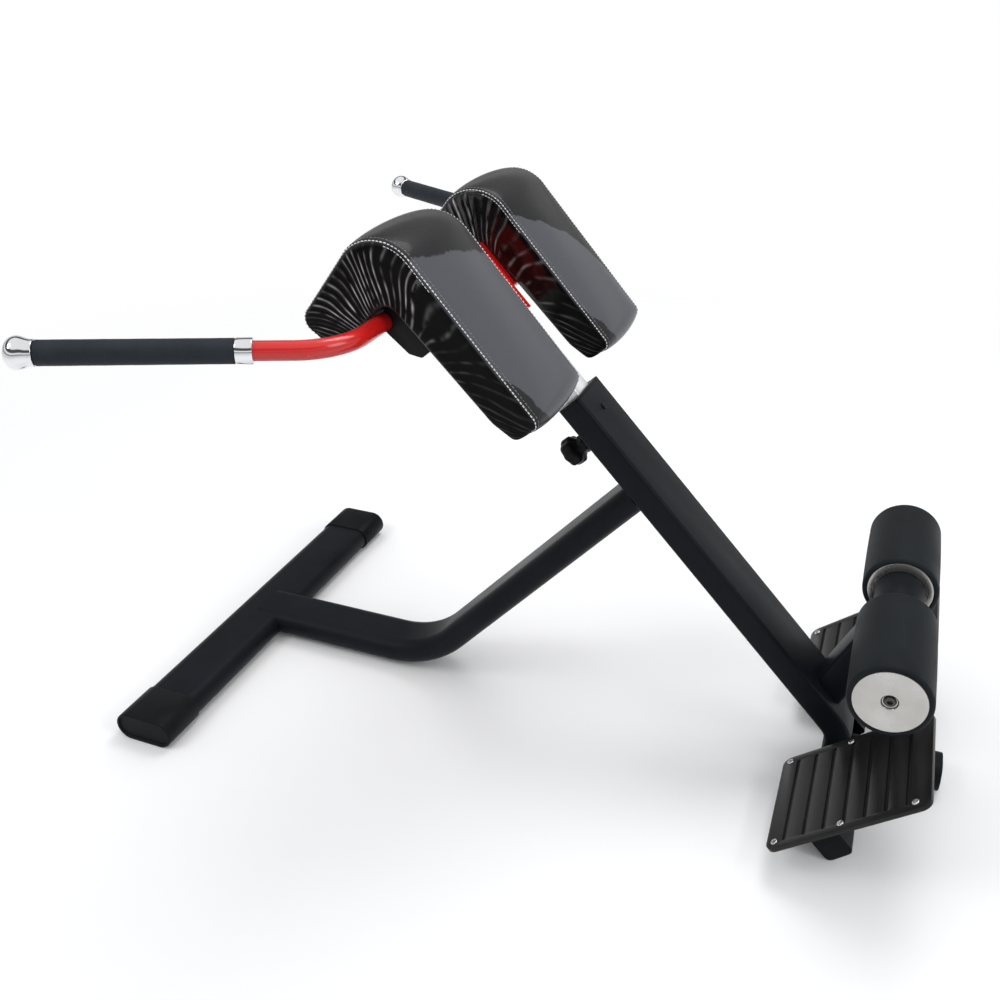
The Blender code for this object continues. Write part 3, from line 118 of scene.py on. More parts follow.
def makeCamera():
    yaw, pitch = camera["yaw"], camera["pitch"]
    ahead = Vector((-math.cos(yaw) * math.cos(pitch), -math.sin(yaw) * math.cos(pitch), -math.sin(pitch)))
    right = Vector((-math.sin(yaw), math.cos(yaw), 0.0))
    turn = Matrix((right, right.cross(ahead), -ahead)).transposed().to_4x4()
    eye = newObject(bpy.ops.object.camera_add, location=camera["place"], rotation=turn.to_euler())
    eye.data.sensor_fit = "HORIZONTAL"
    eye.data.sensor_width = camera["sensor"]
    eye.data.lens = camera["lens"]
    eye.data.shift_x, eye.data.shift_y = camera["shift"]
    bpy.context.scene.camera = eye


# Floor, backdrop colour and lamps
studio = {
    "floorSize": 60.0,
    "floorColor": (0.92, 0.92, 0.92),
    "bounceColor": (0.50, 0.50, 0.51),
    "floorRough": 0.9,
    "floorShine": 0.1,
    "fade": (1.2, 2.8),
    "skyColor": (0.97, 0.98, 1.0, 1.0),
    "skyLevel": 0.80,
    "backdrop": (1.0, 1.0, 1.0, 1.0),
    # what mirrors see of the room, from the horizon to straight up: white panels with dark gaps between them
    "mirrored": ((0.02, 0.55), (0.10, 0.14), (0.20, 0.90), (0.30, 0.90), (0.38, 0.10), (0.62, 0.07), (0.72, 0.95)),
    "lamps": (
        # name, place, aim, size, watts
        ("keyLamp", (1.9, -1.9, 3.0), (0.0, 0.0, 0.3), 1.5, 24.0),
        ("rearLamp", (0.6, 3.2, 2.6), (0.0, 0.2, 0.5), 1.8, 30.0),
        ("topLamp", (-1.4, 0.4, 3.4), (0.0, 0.0, 0.4), 1.8, 36.0),
    ),
}


def makeWorld():
    scene = bpy.context.scene
    scene.view_settings.view_transform = "Standard"
    world = bpy.data.worlds.new("studioWorld")
    scene.world = world
    world.use_nodes = True
    tree = world.node_tree
    tree.nodes.clear()
    seen = addNode(tree, "LightPath")
    place = addNode(tree, "TexCoord")
    height = addNode(tree, "SeparateXYZ", {0: place.outputs["Generated"]})
    room = addNode(tree, "ValToRGB", {"Fac": height.outputs["Z"]})
    stops = room.color_ramp.elements
    stops.remove(stops[1])
    for number, (position, level) in enumerate(studio["mirrored"]):
        stop = stops[0] if number == 0 else stops.new(position)
        stop.position = position
        stop.color = (level, level, level, 1.0)

    def glow(color, level):
        return addNode(tree, "Background", {"Color": color, "Strength": level}).outputs[0]

    def choose(ray, first, second):
        return addNode(tree, "MixShader", {"Fac": seen.outputs[ray], 1: first, 2: second}).outputs[0]

    lit = glow(studio["skyColor"], studio["skyLevel"])
    mirrored = choose("Is Glossy Ray", lit, glow(room.outputs["Color"], 1.0))
    shown = choose("Is Camera Ray", mirrored, glow(studio["backdrop"], 1.0))
    addNode(tree, "OutputWorld", {"Surface": shown})


def makeFloor():  # the eye and mirrors see a white floor that fades into the backdrop; less light comes back
    floor = newObject(bpy.ops.mesh.primitive_plane_add, "studioFloor", size=studio["floorSize"])
    paint, tree, shader = startMaterial("studioFloor")
    seen = addNode(tree, "LightPath")
    setInputs(tree, shader, {
        "Roughness": studio["floorRough"],
        "Specular IOR Level": studio["floorShine"],
        "Base Color": blendTones(tree, seen.outputs["Is Diffuse Ray"], studio["floorColor"], studio["bounceColor"]),
    })
    place = addNode(tree, "TexCoord")
    reach = addNode(tree, "VectorMath", {0: place.outputs["Object"]}, operation="LENGTH")
    near, far = studio["fade"]
    fade = addNode(tree, "MapRange", {"Value": reach.outputs["Value"], "From Min": near, "From Max": far},
                   interpolation_type="SMOOTHSTEP")
    amount = addNode(tree, "Math", {0: fade.outputs["Result"], 1: seen.outputs["Is Camera Ray"]},
                     operation="MULTIPLY")
    clear = addNode(tree, "BsdfTransparent")
    blend = addNode(tree, "MixShader", {"Fac": amount.outputs[0], 1: shader.outputs[0], 2: clear.outputs[0]})
    setInputs(tree, tree.nodes["Material Output"], {"Surface": blend.outputs[0]})
    floor.data.materials.append(paint)


def makeLamps():
    for name, place, aim, size, watts in studio["lamps"]:
        facing = (Vector(aim) - Vector(place)).to_track_quat("-Z", "Y").to_euler()
        lamp = newObject(bpy.ops.object.light_add, name, type="AREA", location=place, rotation=facing)
        lamp.data.shape = "DISK"
        lamp.data.size = size
        lamp.data.energy = watts


makeCamera()
makeWorld()
makeFloor()
makeLamps()
print("camera, floor and lamps ready")


# Shader groups that the materials share
def openGroup(name, **inputs):
    group = bpy.data.node_groups.new(name, "ShaderNodeTree")
    for socket, value in inputs.items():
        made = group.interface.new_socket(name=socket, in_out="INPUT", socket_type="NodeSocketFloat")
        made.default_value = value
    given = group.nodes.new("NodeGroupInput")
    place = addNode(group, "TexCoord")
    return group, given.outputs, place.outputs["Object"]


def closeGroup(group, **results):
    for socket in results:
        kind = "NodeSocketVector" if socket == "Normal" else "NodeSocketFloat"
        group.interface.new_socket(name=socket, in_out="OUTPUT", socket_type=kind)
    setInputs(group, group.nodes.new("NodeGroupOutput"), results)
    return group


def makeGrainGroup():  # fine surface grain, as a bump and a mask
    group, given, place = openGroup("surfaceGrain", Size=900.0, Height=0.0001)
    speckle = addNode(group, "TexNoise", {"Vector": place, "Scale": given["Size"], "Detail": 3.0})
    mask = speckle.outputs["Fac"]
    bump = addNode(group, "Bump", {"Distance": given["Height"], "Height": mask})
    return closeGroup(group, Normal=bump.outputs["Normal"], Mask=mask)


def makeToneGroup():  # slow changes of tone over a surface, as a mask and a roughness
    group, given, place = openGroup("surfaceTone", Size=7.0, Low=0.3, High=0.5)
    cloud = addNode(group, "TexNoise", {"Vector": place, "Scale": given["Size"], "Detail": 5.0, "Roughness": 0.6})
    spread = addNode(group, "MapRange", {"Value": cloud.outputs["Fac"], "From Min": 0.35, "From Max": 0.65})
    mask = spread.outputs["Result"]
    level = addNode(group, "MapRange", {"Value": mask, "To Min": given["Low"], "To Max": given["High"]})
    return closeGroup(group, Mask=mask, Roughness=level.outputs["Result"])


grainGroup = makeGrainGroup()
toneGroup = makeToneGroup()

# Finishes: two tones, a range of roughness, the size and height of the grain, and the size of the tones;
# shine is the specular level
finishes = {
    "powderCoat": {"tones": ((0.0050, 0.0060, 0.0084), (0.0092, 0.0108, 0.0146)), "rough": (0.34, 0.44),
                   "grain": (1400.0, 0.00016), "tone": 5.0, "shine": 0.09},
    "bootRubber": {"tones": ((0.0050, 0.0056, 0.0066), (0.0100, 0.0108, 0.0124)), "rough": (0.38, 0.50),
                   "grain": (900.0, 0.00020), "tone": 16.0, "shine": 0.08},
    "blackPlastic": {"tones": ((0.0034, 0.0034, 0.0040), (0.0070, 0.0070, 0.0080)), "rough": (0.32, 0.46),
                     "grain": (1600.0, 0.00012), "tone": 12.0, "shine": 0.12},
    "rollerFoam": {"tones": ((0.0092, 0.0112, 0.0130), (0.0154, 0.0182, 0.0208)), "rough": (0.46, 0.58),
                   "grain": (1500.0, 0.00030), "tone": 14.0, "shine": 0.07},
    "plateCoat": {"tones": ((0.0080, 0.0074, 0.0072), (0.0180, 0.0166, 0.0158)), "rough": (0.26, 0.36),
                  "grain": (1400.0, 0.00014), "tone": 7.0, "shine": 0.20},
    "gripRubber": {"tones": ((0.0165, 0.0210, 0.0270), (0.0250, 0.0310, 0.0390)), "rough": (0.50, 0.64),
                   "grain": (1300.0, 0.00040), "tone": 20.0, "shine": 0.16},
    "redPaint": {"tones": ((0.560, 0.010, 0.010), (0.680, 0.014, 0.012)), "rough": (0.22, 0.30),
                 "grain": (1100.0, 0.00006), "tone": 6.0, "shine": 0.35, "coat": 0.6, "coatRough": 0.06},
    "capChrome": {"tones": ((0.76, 0.77, 0.79), (0.88, 0.89, 0.90)), "rough": (0.05, 0.10),
                  "grain": (700.0, 0.00002), "tone": 10.0, "metal": 1.0},
    "postChrome": {"tones": ((0.84, 0.85, 0.86), (0.92, 0.925, 0.93)), "rough": (0.16, 0.24),
                   "grain": (700.0, 0.00002), "tone": 8.0, "metal": 0.35},
    "discPlate": {"tones": ((0.44, 0.43, 0.41), (0.54, 0.53, 0.51)), "rough": (0.20, 0.30),
                  "grain": (800.0, 0.00004), "tone": 18.0, "metal": 0.85},
    "screwZinc": {"tones": ((0.58, 0.59, 0.61), (0.74, 0.75, 0.77)), "rough": (0.18, 0.32),
                  "grain": (1500.0, 0.00008), "tone": 60.0, "metal": 1.0},
    "darkSteel": {"tones": ((0.045, 0.040, 0.036), (0.090, 0.082, 0.074)), "rough": (0.34, 0.50),
                  "grain": (1200.0, 0.00010), "tone": 50.0, "metal": 0.6},
    "whiteThread": {"tones": ((0.72, 0.73, 0.75), (0.86, 0.86, 0.87)), "rough": (0.50, 0.64),
                    "grain": (3000.0, 0.00015), "tone": 40.0},
    "greyThread": {"tones": ((0.16, 0.16, 0.17), (0.28, 0.28, 0.29)), "rough": (0.50, 0.64),
                   "grain": (3000.0, 0.00015), "tone": 60.0},
}


def addSurface(tree, grain, tone, rough):  # the shared groups: a mask, a roughness and a normal
    fine = addNode(tree, "Group", node_tree=grainGroup)
    setInputs(tree, fine, {"Size": grain[0], "Height": grain[1]})
    slow = addNode(tree, "Group", node_tree=toneGroup)
    setInputs(tree, slow, {"Size": tone, "Low": rough[0], "High": rough[1]})
    return slow.outputs["Mask"], slow.outputs["Roughness"], fine.outputs["Normal"]


def makeFinish(name):
    look = finishes[name]
    material, tree, shader = startMaterial(name)
    mask, rough, normal = addSurface(tree, look["grain"], look["tone"], look["rough"])
    setInputs(tree, shader, {
        "Metallic": look.get("metal", 0.0),
        "Specular IOR Level": look.get("shine", 0.5),
        "Coat Weight": look.get("coat", 0.0),
        "Coat Roughness": look.get("coatRough", 0.1),
        "Base Color": blendTones(tree, mask, *look["tones"]),
        "Roughness": rough,
        "Normal": normal,
    })
    return material


plywood = {"light": (0.50, 0.36, 0.21), "dark": (0.34, 0.22, 0.12), "rings": 34.0, "waver": 6.0,
           "stretch": (1.0, 0.12, 0.12), "rough": 0.72, "grain": (600.0, 0.0002)}


def makePlywood():
    material, tree, shader = startMaterial("plywood")
    place = addNode(tree, "TexCoord")
    stretch = addNode(tree, "Mapping", {"Vector": place.outputs["Object"], "Scale": plywood["stretch"]})
    wave = addNode(tree, "TexWave", {"Vector": stretch.outputs["Vector"], "Scale": plywood["rings"],
                                     "Distortion": plywood["waver"]})
    size, height = plywood["grain"]
    grain = addNode(tree, "Group", node_tree=grainGroup)
    setInputs(tree, grain, {"Size": size, "Height": height})
    setInputs(tree, shader, {
        "Base Color": blendTones(tree, wave.outputs["Fac"], plywood["light"], plywood["dark"]),
        "Roughness": plywood["rough"],
        "Normal": grain.outputs["Normal"],
    })
    return material


# Vinyl under a tight clear wrap: dark round the bend and paler down the long face, where a painted reflection of the
# wrap lightens it, with a ragged border; the side panels carry painted highlights along their gathers
vinyl = {
    "dark": (0.030, 0.030, 0.031),
    "pale": (0.094, 0.096, 0.106),
    "side": (0.0028, 0.0026, 0.0028),
    "crest": (0.62, 0.60, 0.60),
    "ragged": 0.040,
    "borderWidth": 0.0022,
    "rough": (0.30, 0.40),
    "shine": 0.07,
    "topCoat": 0.12,
    "innerCoat": 1.0,
    "innerCoatRun": (0.115, 0.200),
    "creaseCoat": 0.60,
    "coatRough": 0.10,
    "sharpness": 8.0,
    "rag": {"Scale": 26.0, "Detail": 7.0, "Roughness": 0.66},
    "tone": 9.0,
    "grain": (420.0, 0.00030),
}


def makeVinyl():
    material, tree, shader = startMaterial("padVinyl")

    def mark(name):
        return addNode(tree, "Attribute", attribute_name=name).outputs["Fac"]

    def step(operation, *values):
        return addNode(tree, "Math", dict(enumerate(values)), operation=operation).outputs[0]

    place = addNode(tree, "TexCoord")
    rag = addNode(tree, "TexNoise", {"Vector": place.outputs["Object"], **vinyl["rag"]})
    # the pale tone is a painted reflection of the clear wrap, behind a ragged border
    border = step("MULTIPLY_ADD", step("SUBTRACT", rag.outputs["Fac"], 0.5), vinyl["ragged"], mark("tide"))
    edge = addNode(tree, "MapRange", {"Value": border, "From Min": vinyl["borderWidth"],
                                      "From Max": -vinyl["borderWidth"]}, interpolation_type="SMOOTHSTEP")
    top = blendTones(tree, edge.outputs["Result"], vinyl["dark"], vinyl["pale"])
    # painted highlights along the gathers, standing in for glints of light on the clear wrap: "pleat" counts them
    # along the seam, and a second attribute holds how bright the painted highlight on each one is
    wave = step("COSINE", step("MULTIPLY", mark("pleat"), 2.0 * math.pi))
    ridge = step("POWER", step("MULTIPLY", step("ADD", wave, 1.0), 0.5), vinyl["sharpness"])
    light = step("MULTIPLY", ridge, mark("crest"))
    side = blendTones(tree, light, vinyl["side"], vinyl["crest"])
    _, rough, normal = addSurface(tree, vinyl["grain"], vinyl["tone"], vinyl["rough"])
    setInputs(tree, shader, {
        "Base Color": blendTones(tree, mark("sidePanel"), top, side),
        "Coat Weight": step("ADD", mark("wrap"), step("MULTIPLY", light, vinyl["creaseCoat"])),
        "Roughness": rough,
        "Normal": normal,
        "Specular IOR Level": vinyl["shine"],
        "Coat Roughness": vinyl["coatRough"],
    })
    return material


materials = {name: makeFinish(name) for name in finishes}
materials["plywood"] = makePlywood()
materials["padVinyl"] = makeVinyl()
print("materials ready:", len(materials))


# Modelling steps that the pieces share
def selectOnly(piece):
    bpy.ops.object.select_all(action="DESELECT")
    piece.select_set(True)
    bpy.context.view_layer.objects.active = piece


def cutBox(piece, place, size):  # takes a box out of a piece; place is the box's middle and turn
    cutter = newObject(bpy.ops.mesh.primitive_cube_add, size=1.0)
    cutter.matrix_world = place @ Matrix.Diagonal((*size, 1.0))
    bpy.context.view_layer.update()
    applyModifier(piece, "BOOLEAN", object=cutter, operation="DIFFERENCE", solver="EXACT")
    bpy.data.objects.remove(cutter)


def applyModifier(piece, kind, **settings):
    selectOnly(piece)
    modifier = piece.modifiers.new(kind.title(), kind)
    for key, value in settings.items():
        setattr(modifier, key, value)
    bpy.ops.object.modifier_apply(modifier=modifier.name)


def smoothEdges(piece, width=0.0, angle=38.0, segments=2):
    if width:
        applyModifier(piece, "BEVEL", width=width, segments=segments, limit_method="ANGLE",
                      angle_limit=math.radians(angle))
    selectOnly(piece)
    bpy.ops.object.shade_smooth_by_angle(angle=math.radians(angle))


def fit(piece, body, finishName, stands=()):
    piece.data.materials.clear()
    piece.data.materials.append(materials[finishName])
    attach(piece, body)
    if stands:
        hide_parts(*stands)
    return piece


def wrapGrid(name, rings, width=0.0, angle=38.0):  # a grid wrapped onto closed rings, its ends filled
    around = len(rings[0])
    piece = newObject(bpy.ops.mesh.primitive_grid_add, name, x_subdivisions=around, y_subdivisions=len(rings) - 1,
                      size=1.0)
    for vertex in piece.data.vertices:
        row, column = divmod(vertex.index, around + 1)
        vertex.co = rings[row][column % around]
    bpy.ops.object.mode_set(mode="EDIT")
    bpy.ops.mesh.select_all(action="SELECT")
    bpy.ops.mesh.remove_doubles(threshold=0.00001)
    bpy.ops.mesh.fill_holes(sides=0)
    bpy.ops.mesh.select_all(action="SELECT")
    bpy.ops.mesh.normals_make_consistent(inside=False)
    bpy.ops.object.mode_set(mode="OBJECT")
    smoothEdges(piece, width, angle)
    return piece


def turnedRings(profile, place, steps=96, shape=None):  # profile points are (along the axis, radius)
    rings = []
    for along, radius in profile:
        ring = []
        for step in range(steps):
            angle = 2.0 * math.pi * step / steps
            wide = shape(radius, angle) if shape else radius
            ring.append(place @ Vector((along, wide * math.cos(angle), wide * math.sin(angle))))
        rings.append(ring)
    return rings


def sixSided(radius, angle):
    flat = math.cos(math.pi / 6) / math.cos((angle + math.pi / 6) % (math.pi / 3) - math.pi / 6)
    return radius * flat


def turnedPiece(name, profile, place, look, stands=(), width=0.0, steps=96):  # look is (body, finish)
    return fit(wrapGrid(name, turnedRings(profile, place, steps), width), *look, stands)


def ovalOutline(width, height, steps=20):
    radius = height / 2
    points = []
    for side in (1, -1):
        for step in range(steps + 1):
            angle = math.pi * (step / steps - 0.5)
            points.append((side * (width / 2 - radius + radius * math.cos(angle)),
                           side * radius * math.sin(angle)))
    return points


def beadAlong(name, loop, radius, body, finishName):  # a weld bead along a closed loop of points
    count = len(loop)
    rings = []
    for index, point in enumerate(loop):
        ahead = (loop[(index + 1) % count] - loop[index - 1]).normalized()
        side = ahead.orthogonal().normalized()
        other = ahead.cross(side)
        size = radius * (1.0 + 0.16 * math.sin(index * 2.1))
        rings.append([point + (side * math.cos(math.pi * step / 4) + other * math.sin(math.pi * step / 4)) * size
                      for step in range(8)])
    rings.append(rings[0])
    piece = wrapGrid(name, rings, angle=70.0)
    return fit(piece, body, finishName)


def denseLoop(points, pitch):
    loop = []
    for index, point in enumerate(points):
        after = points[(index + 1) % len(points)]
        pieces = max(1, round((after - point).length / pitch))
        loop += [point.lerp(after, step / pieces) for step in range(pieces)]
    return loop


# Frame pieces whose CAD shape stays: a merged copy with broken edges takes each one's place
kept = {
    # node, with * for left and right: (body, finish, edge width, smooth angle)
    "main_beam": ("frame", "powderCoat", 0.0, 40.0),
    "rear_tube_*": ("frame", "powderCoat", 0.0, 40.0),
    "rear_boot_*": ("frame", "bootRubber", 0.0, 50.0),
    "foot_plate_*": ("frame", "plateCoat", 0.0009, 36.0),
    "plate_channel_*": ("frame", "powderCoat", 0.0006, 36.0),
    "roller_arm": ("frame", "powderCoat", 0.0, 40.0),
    "beam_bushing": ("frame", "blackPlastic", 0.0006, 40.0),
    "tail_plug": ("frame", "blackPlastic", 0.0006, 40.0),
    "post": ("carriage", "postChrome", 0.0, 40.0),
    "carriage_cross": ("carriage", "redPaint", 0.0006, 36.0),
    "pad_bracket_*": ("carriage", "blackPlastic", 0.0010, 36.0),
    "pad_board_*": ("carriage", "plywood", 0.0006, 36.0),
}
plainFinish = {  # nodes that are left as they are, nearly all of them hidden inside others
    "roller_axle": "darkSteel", "roller_core_*": "blackPlastic", "bushing_screw": "blackPlastic",
    "plunger_pin": "darkSteel", "pad_bolt_*_1": "screwZinc", "pad_bolt_*_2": "screwZinc",
}


def eachSide(name):
    return [name.replace("*", side) for side in ("left", "right")] if "*" in name else [name]


def dressNode(node, body, finishName, width, angle):
    piece = nodes[node].copy()
    piece.data = nodes[node].data.copy()
    piece.animation_data_clear()
    for key in [key for key in piece.keys() if key.startswith("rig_")]:
        del piece[key]
    piece.parent = None
    words = node.split("_")
    piece.name = words[0] + "".join(word.title() for word in words[1:])
    bpy.context.scene.collection.objects.link(piece)
    selectOnly(piece)
    bpy.ops.object.mode_set(mode="EDIT")
    bpy.ops.mesh.select_all(action="SELECT")
    bpy.ops.mesh.remove_doubles(threshold=0.00001)
    bpy.ops.mesh.dissolve_limited(angle_limit=math.radians(0.4))
    bpy.ops.object.mode_set(mode="OBJECT")
    smoothEdges(piece, width, angle)
    return fit(piece, body, finishName, (node,))


for name, look in kept.items():
    for node in eachSide(name):
        dressNode(node, *look)
for name, finishName in plainFinish.items():
    for node in eachSide(name):
        nodes[node].data.materials.clear()
        nodes[node].data.materials.append(materials[finishName])
print("kept nodes dressed:", sum(len(eachSide(name)) for name in kept))

# Flat-oval tubes and their rubber boots
ovals = {
    "width": 0.100, "height": 0.045, "tailWidth": 0.060, "span": 0.756, "sole": 0.0025, "bootSide": 0.003,
    "bootLength": 0.080, "tailBootLength": 0.045, "bootEnd": 0.008, "rim": 0.0055, "recess": 0.003,
    "bead": 0.0022, "gap": 0.0003,
}
ovalCentreZ = ovals["sole"] + ovals["height"] / 2


def acrossFloor(a, b, t):
    return Vector((t, frontY + a, ovalCentreZ + b))


def alongFloor(a, b, t):
    return Vector((a, t, ovalCentreZ + b))


def ovalRing(place, width, height, t):
    return [place(a, b, t) for a, b in ovalOutline(width, height)]


def makeBoot(name, node, place, width, openAt, closedAt):
    sign = 1.0 if closedAt > openAt else -1.0
    wide = width + 2 * ovals["bootSide"]
    high = ovals["height"] + 2 * ovals["sole"]
    grip = 2 * ovals["gap"]
    rings = [ovalRing(place, width + grip, ovals["height"] + grip, openAt + sign * 0.004),
             ovalRing(place, width + grip, ovals["height"] + grip, openAt)]
    for share in (1.0, 0.45, 0.0):  # soft lip at the open end
        rings.append(ovalRing(place, wide - 0.0016 * share, high - 0.0016 * share,
                              openAt + sign * 0.0012 * (1.0 - share)))
    bead, rim = ovals["bead"], ovals["rim"]
    for step in range(7):  # round nose of the rim
        angle = math.pi / 2 * step / 6
        shrink = bead * (1.0 - math.cos(angle))
        rings.append(ovalRing(place, wide - 2 * shrink, high - 2 * shrink,
                              closedAt - sign * bead * (1.0 - math.sin(angle))))
    for step in range(5):  # inner side of the rim, down to the sunk face
        angle = math.pi / 2 * step / 4
        shrink = rim - 0.0015 * math.cos(angle)
        rings.append(ovalRing(place, wide - 2 * shrink, high - 2 * shrink,
                              closedAt - sign * ovals["recess"] * (1.0 - math.cos(angle))))
    rings.append(ovalRing(place, wide - 2 * rim - 0.004, high - 2 * rim - 0.004,
                          closedAt - sign * ovals["recess"]))
    piece = wrapGrid(name, rings, angle=50.0)
    return fit(piece, "frame", "bootRubber", (node,))


def makeFloorTubes():
    half = ovals["span"] / 2
    ends = (-half + ovals["bootEnd"], half - ovals["bootEnd"])
    rings = [ovalRing(acrossFloor, ovals["width"], ovals["height"], t) for t in ends]
    fit(wrapGrid("frontStabilizer", rings, angle=50.0), "frame", "powderCoat", ("front_stabilizer",))
    for sign, side, label in sides:
        makeBoot(f"frontBoot{label}", f"front_boot_{side}", acrossFloor, ovals["width"],
                 sign * (half - ovals["bootLength"]), sign * half)
    low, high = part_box("tail_tube")
    rings = [ovalRing(alongFloor, ovals["tailWidth"], ovals["height"], t) for t in (low.y, high.y)]
    fit(wrapGrid("tailTube", rings, angle=50.0), "frame", "powderCoat", ("tail_tube",))
    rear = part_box("tail_boot")[1].y
    makeBoot("tailBoot", "tail_boot", alongFloor, ovals["tailWidth"], rear - ovals["tailBootLength"], rear)


makeFloorTubes()

# Spine: the flat-oval tube that leaves the stabilizer level and bends up to the beam
spine = {"width": 0.095, "height": 0.045, "lap": 0.0025, "rise": math.radians(47.88), "bend": 0.1727,
         "station": 0.172, "steps": 28}


def makeSpine():
    baseZ = ovals["sole"] + ovals["height"] + spine["lap"] - spine["height"] / 2
    top = onBeam(0.0, spine["station"], -beam["depth"])
    rise = Vector((0.0, math.cos(spine["rise"]), math.sin(spine["rise"])))
    cornerY = top.y - (top.z - baseZ) / math.tan(spine["rise"])
    bendY = cornerY - spine["bend"] * math.tan(spine["rise"] / 2)
    outline = ovalOutline(spine["width"], spine["height"])
    rings = [[Vector((a, frontY, baseZ + b)) for a, b in outline]]
    for step in range(spine["steps"] + 1):
        angle = spine["rise"] * step / spine["steps"]
        y = bendY + spine["bend"] * math.sin(angle)
        z = baseZ + spine["bend"] * (1.0 - math.cos(angle))
        rings.append([Vector((a, y - b * math.sin(angle), z + b * math.cos(angle))) for a, b in outline])
    last = []
    for point in rings[-1]:
        reach = (top - point).dot(outOfBeam) / rise.dot(outOfBeam)
        last.append(point + rise * reach)
    rings.append(last)
    fit(wrapGrid("spineTube", rings, angle=50.0), "frame", "powderCoat", ("spine_tube",))
    beadAlong("spineWeld", denseLoop(last, 0.0028), 0.0021, "frame", "powderCoat")


makeSpine()
print("floor tubes, boots and spine modelled")

# Rollers, hub and bolts, all turned about the axle
roller = {
    "radius": 0.0548, "innerX": 0.0452, "outerX": 0.2323, "lip": 0.0062, "coreBore": 0.0168,
    "disc": 0.0476, "thick": 0.0025, "sink": 0.0012, "dish": 0.0120, "dishDepth": 0.003,
    "window": 0.040, "hole": 0.0085, "edge": 0.0011, "gap": 0.0003, "chamfer": 0.0008, "bulge": 0.0006,
    "bulgeSteps": 10, "roll": 0.0026, "dishWall": 0.0012,
}
hub = {"radius": 0.036, "length": 0.084, "flange": 0.0015, "bore": 0.0128, "gap": 0.0003}
bolt = {"head": 0.0072, "height": 0.006, "key": 0.0035, "keyDepth": 0.004}


def arcProfile(centreT, centreR, radius, start, end, steps):
    points = []
    for step in range(steps + 1):
        angle = math.radians(start + (end - start) * step / steps)
        points.append((centreT + radius * math.cos(angle), centreR + radius * math.sin(angle)))
    return points


def makeRoller(sign, side, label):
    place = Matrix.Translation(Vector((0.0, axleCentre.y, axleCentre.z))) @ Matrix.Diagonal((sign, 1, 1, 1))
    body = f"roller_{side}"
    lip, inX, outX = roller["lip"], roller["innerX"], roller["outerX"]
    faceIn, faceOut = inX + roller["sink"], outX - roller["sink"]
    backIn, backOut = faceIn + roller["thick"] + roller["gap"], faceOut - roller["thick"] - roller["gap"]
    seat, chamfer = roller["disc"] + roller["gap"], roller["chamfer"]
    profile = [(backIn, roller["coreBore"]), (backIn, seat), (inX + chamfer, seat), (inX, seat + chamfer)]
    profile += arcProfile(inX + lip, roller["radius"] - lip, lip, 180, 90, 8)
    for step in range(1, roller["bulgeSteps"]):  # the foam swells by a hair between its ends
        share = step / roller["bulgeSteps"]
        profile.append((inX + lip + (outX - inX - 2 * lip) * share,
                        roller["radius"] + roller["bulge"] * math.sin(math.pi * share)))
    profile += arcProfile(outX - lip, roller["radius"] - lip, lip, 90, 0, 8)
    profile += [(outX, seat + chamfer), (outX - chamfer, seat), (backOut, seat), (backOut, roller["coreBore"]),
                (backIn, roller["coreBore"])]
    turnedPiece(f"rollerFoam{label}", profile, place, (body, "rollerFoam"), (f"roller_foam_{side}",), steps=128)
    edge, disc = roller["edge"], roller["disc"]
    profile = [(faceIn, roller["window"]), (faceIn, disc - edge)]
    profile += arcProfile(faceIn + edge, disc - edge, edge, 180, 90, 4)[1:]
    profile += [(faceIn + roller["thick"], disc), (faceIn + roller["thick"], hub["bore"]),
                (faceIn + roller["thick"] / 2, hub["bore"]),
                (faceIn + roller["thick"] / 2, roller["window"] - 0.001), (faceIn, roller["window"])]
    turnedPiece(f"rollerInnerDisc{label}", profile, place, (body, "discPlate"),
                (f"roller_inner_disc_{side}",), 0.0003)
    floor = faceOut - roller["dishDepth"]
    profile = [(floor, roller["hole"]), (floor, roller["dish"] - roller["roll"])]
    for step in range(1, 9):  # the pressed dish rolls up to the flat face
        share = step / 8
        profile.append((floor + roller["dishDepth"] * (0.5 - 0.5 * math.cos(math.pi * share)),
                        roller["dish"] - roller["roll"] + roller["roll"] * share))
    profile.append((faceOut, disc - edge))
    profile += arcProfile(faceOut - edge, disc - edge, edge, 0, 90, 4)[1:]
    back, under = faceOut - roller["thick"], floor - roller["thick"]
    profile += [(back, disc), (back, roller["dish"] + roller["dishWall"]),
                (under, roller["dish"] - roller["dishWall"]), (under, roller["hole"]), (floor, roller["hole"])]
    turnedPiece(f"rollerOuterDisc{label}", profile, place, (body, "discPlate"),
                (f"roller_outer_disc_{side}",), 0.0002)


def makeHub():
    place = Matrix.Translation(Vector((0.0, axleCentre.y, axleCentre.z)))
    half = hub["length"] / 2
    profile = [(-half, hub["radius"] - 0.004), (-half, hub["radius"]), (half, hub["radius"]),
               (half, hub["radius"] - 0.004), (-half, hub["radius"] - 0.004)]
    turnedPiece("rollerHubTube", profile, place, ("frame", "powderCoat"), ("roller_hub_tube",), 0.0006)
    for sign, side, label in sides:
        turned = place @ Matrix.Diagonal((sign, 1, 1, 1))
        face = half + hub["gap"]
        top = face + hub["flange"]
        profile = [(face, hub["bore"]), (face, hub["radius"]), (top, hub["radius"]), (top, hub["bore"]),
                   (face, hub["bore"])]
        turnedPiece(f"hubBushing{label}", profile, turned, ("frame", "blackPlastic"),
                    (f"hub_bushing_{side}",), 0.0004)
        low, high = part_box(f"end_bolt_{side}")
        head = max(abs(low.x), abs(high.x))
        seatX = head - bolt["height"]
        hexagon = [(seatX, 0.0), (seatX, bolt["head"]), (head - 0.0012, bolt["head"]),
                   (head, bolt["head"] - 0.0012), (head, bolt["key"] + 0.0004), (head - 0.0004, bolt["key"])]
        rings = turnedRings(hexagon, turned, 48)
        socket = [(head - bolt["keyDepth"], bolt["key"]), (head - bolt["keyDepth"], 0.0)]
        rings += turnedRings(socket, turned, 48, sixSided)
        fit(wrapGrid(f"endBolt{label}", rings), "frame", "darkSteel", (f"end_bolt_{side}",))


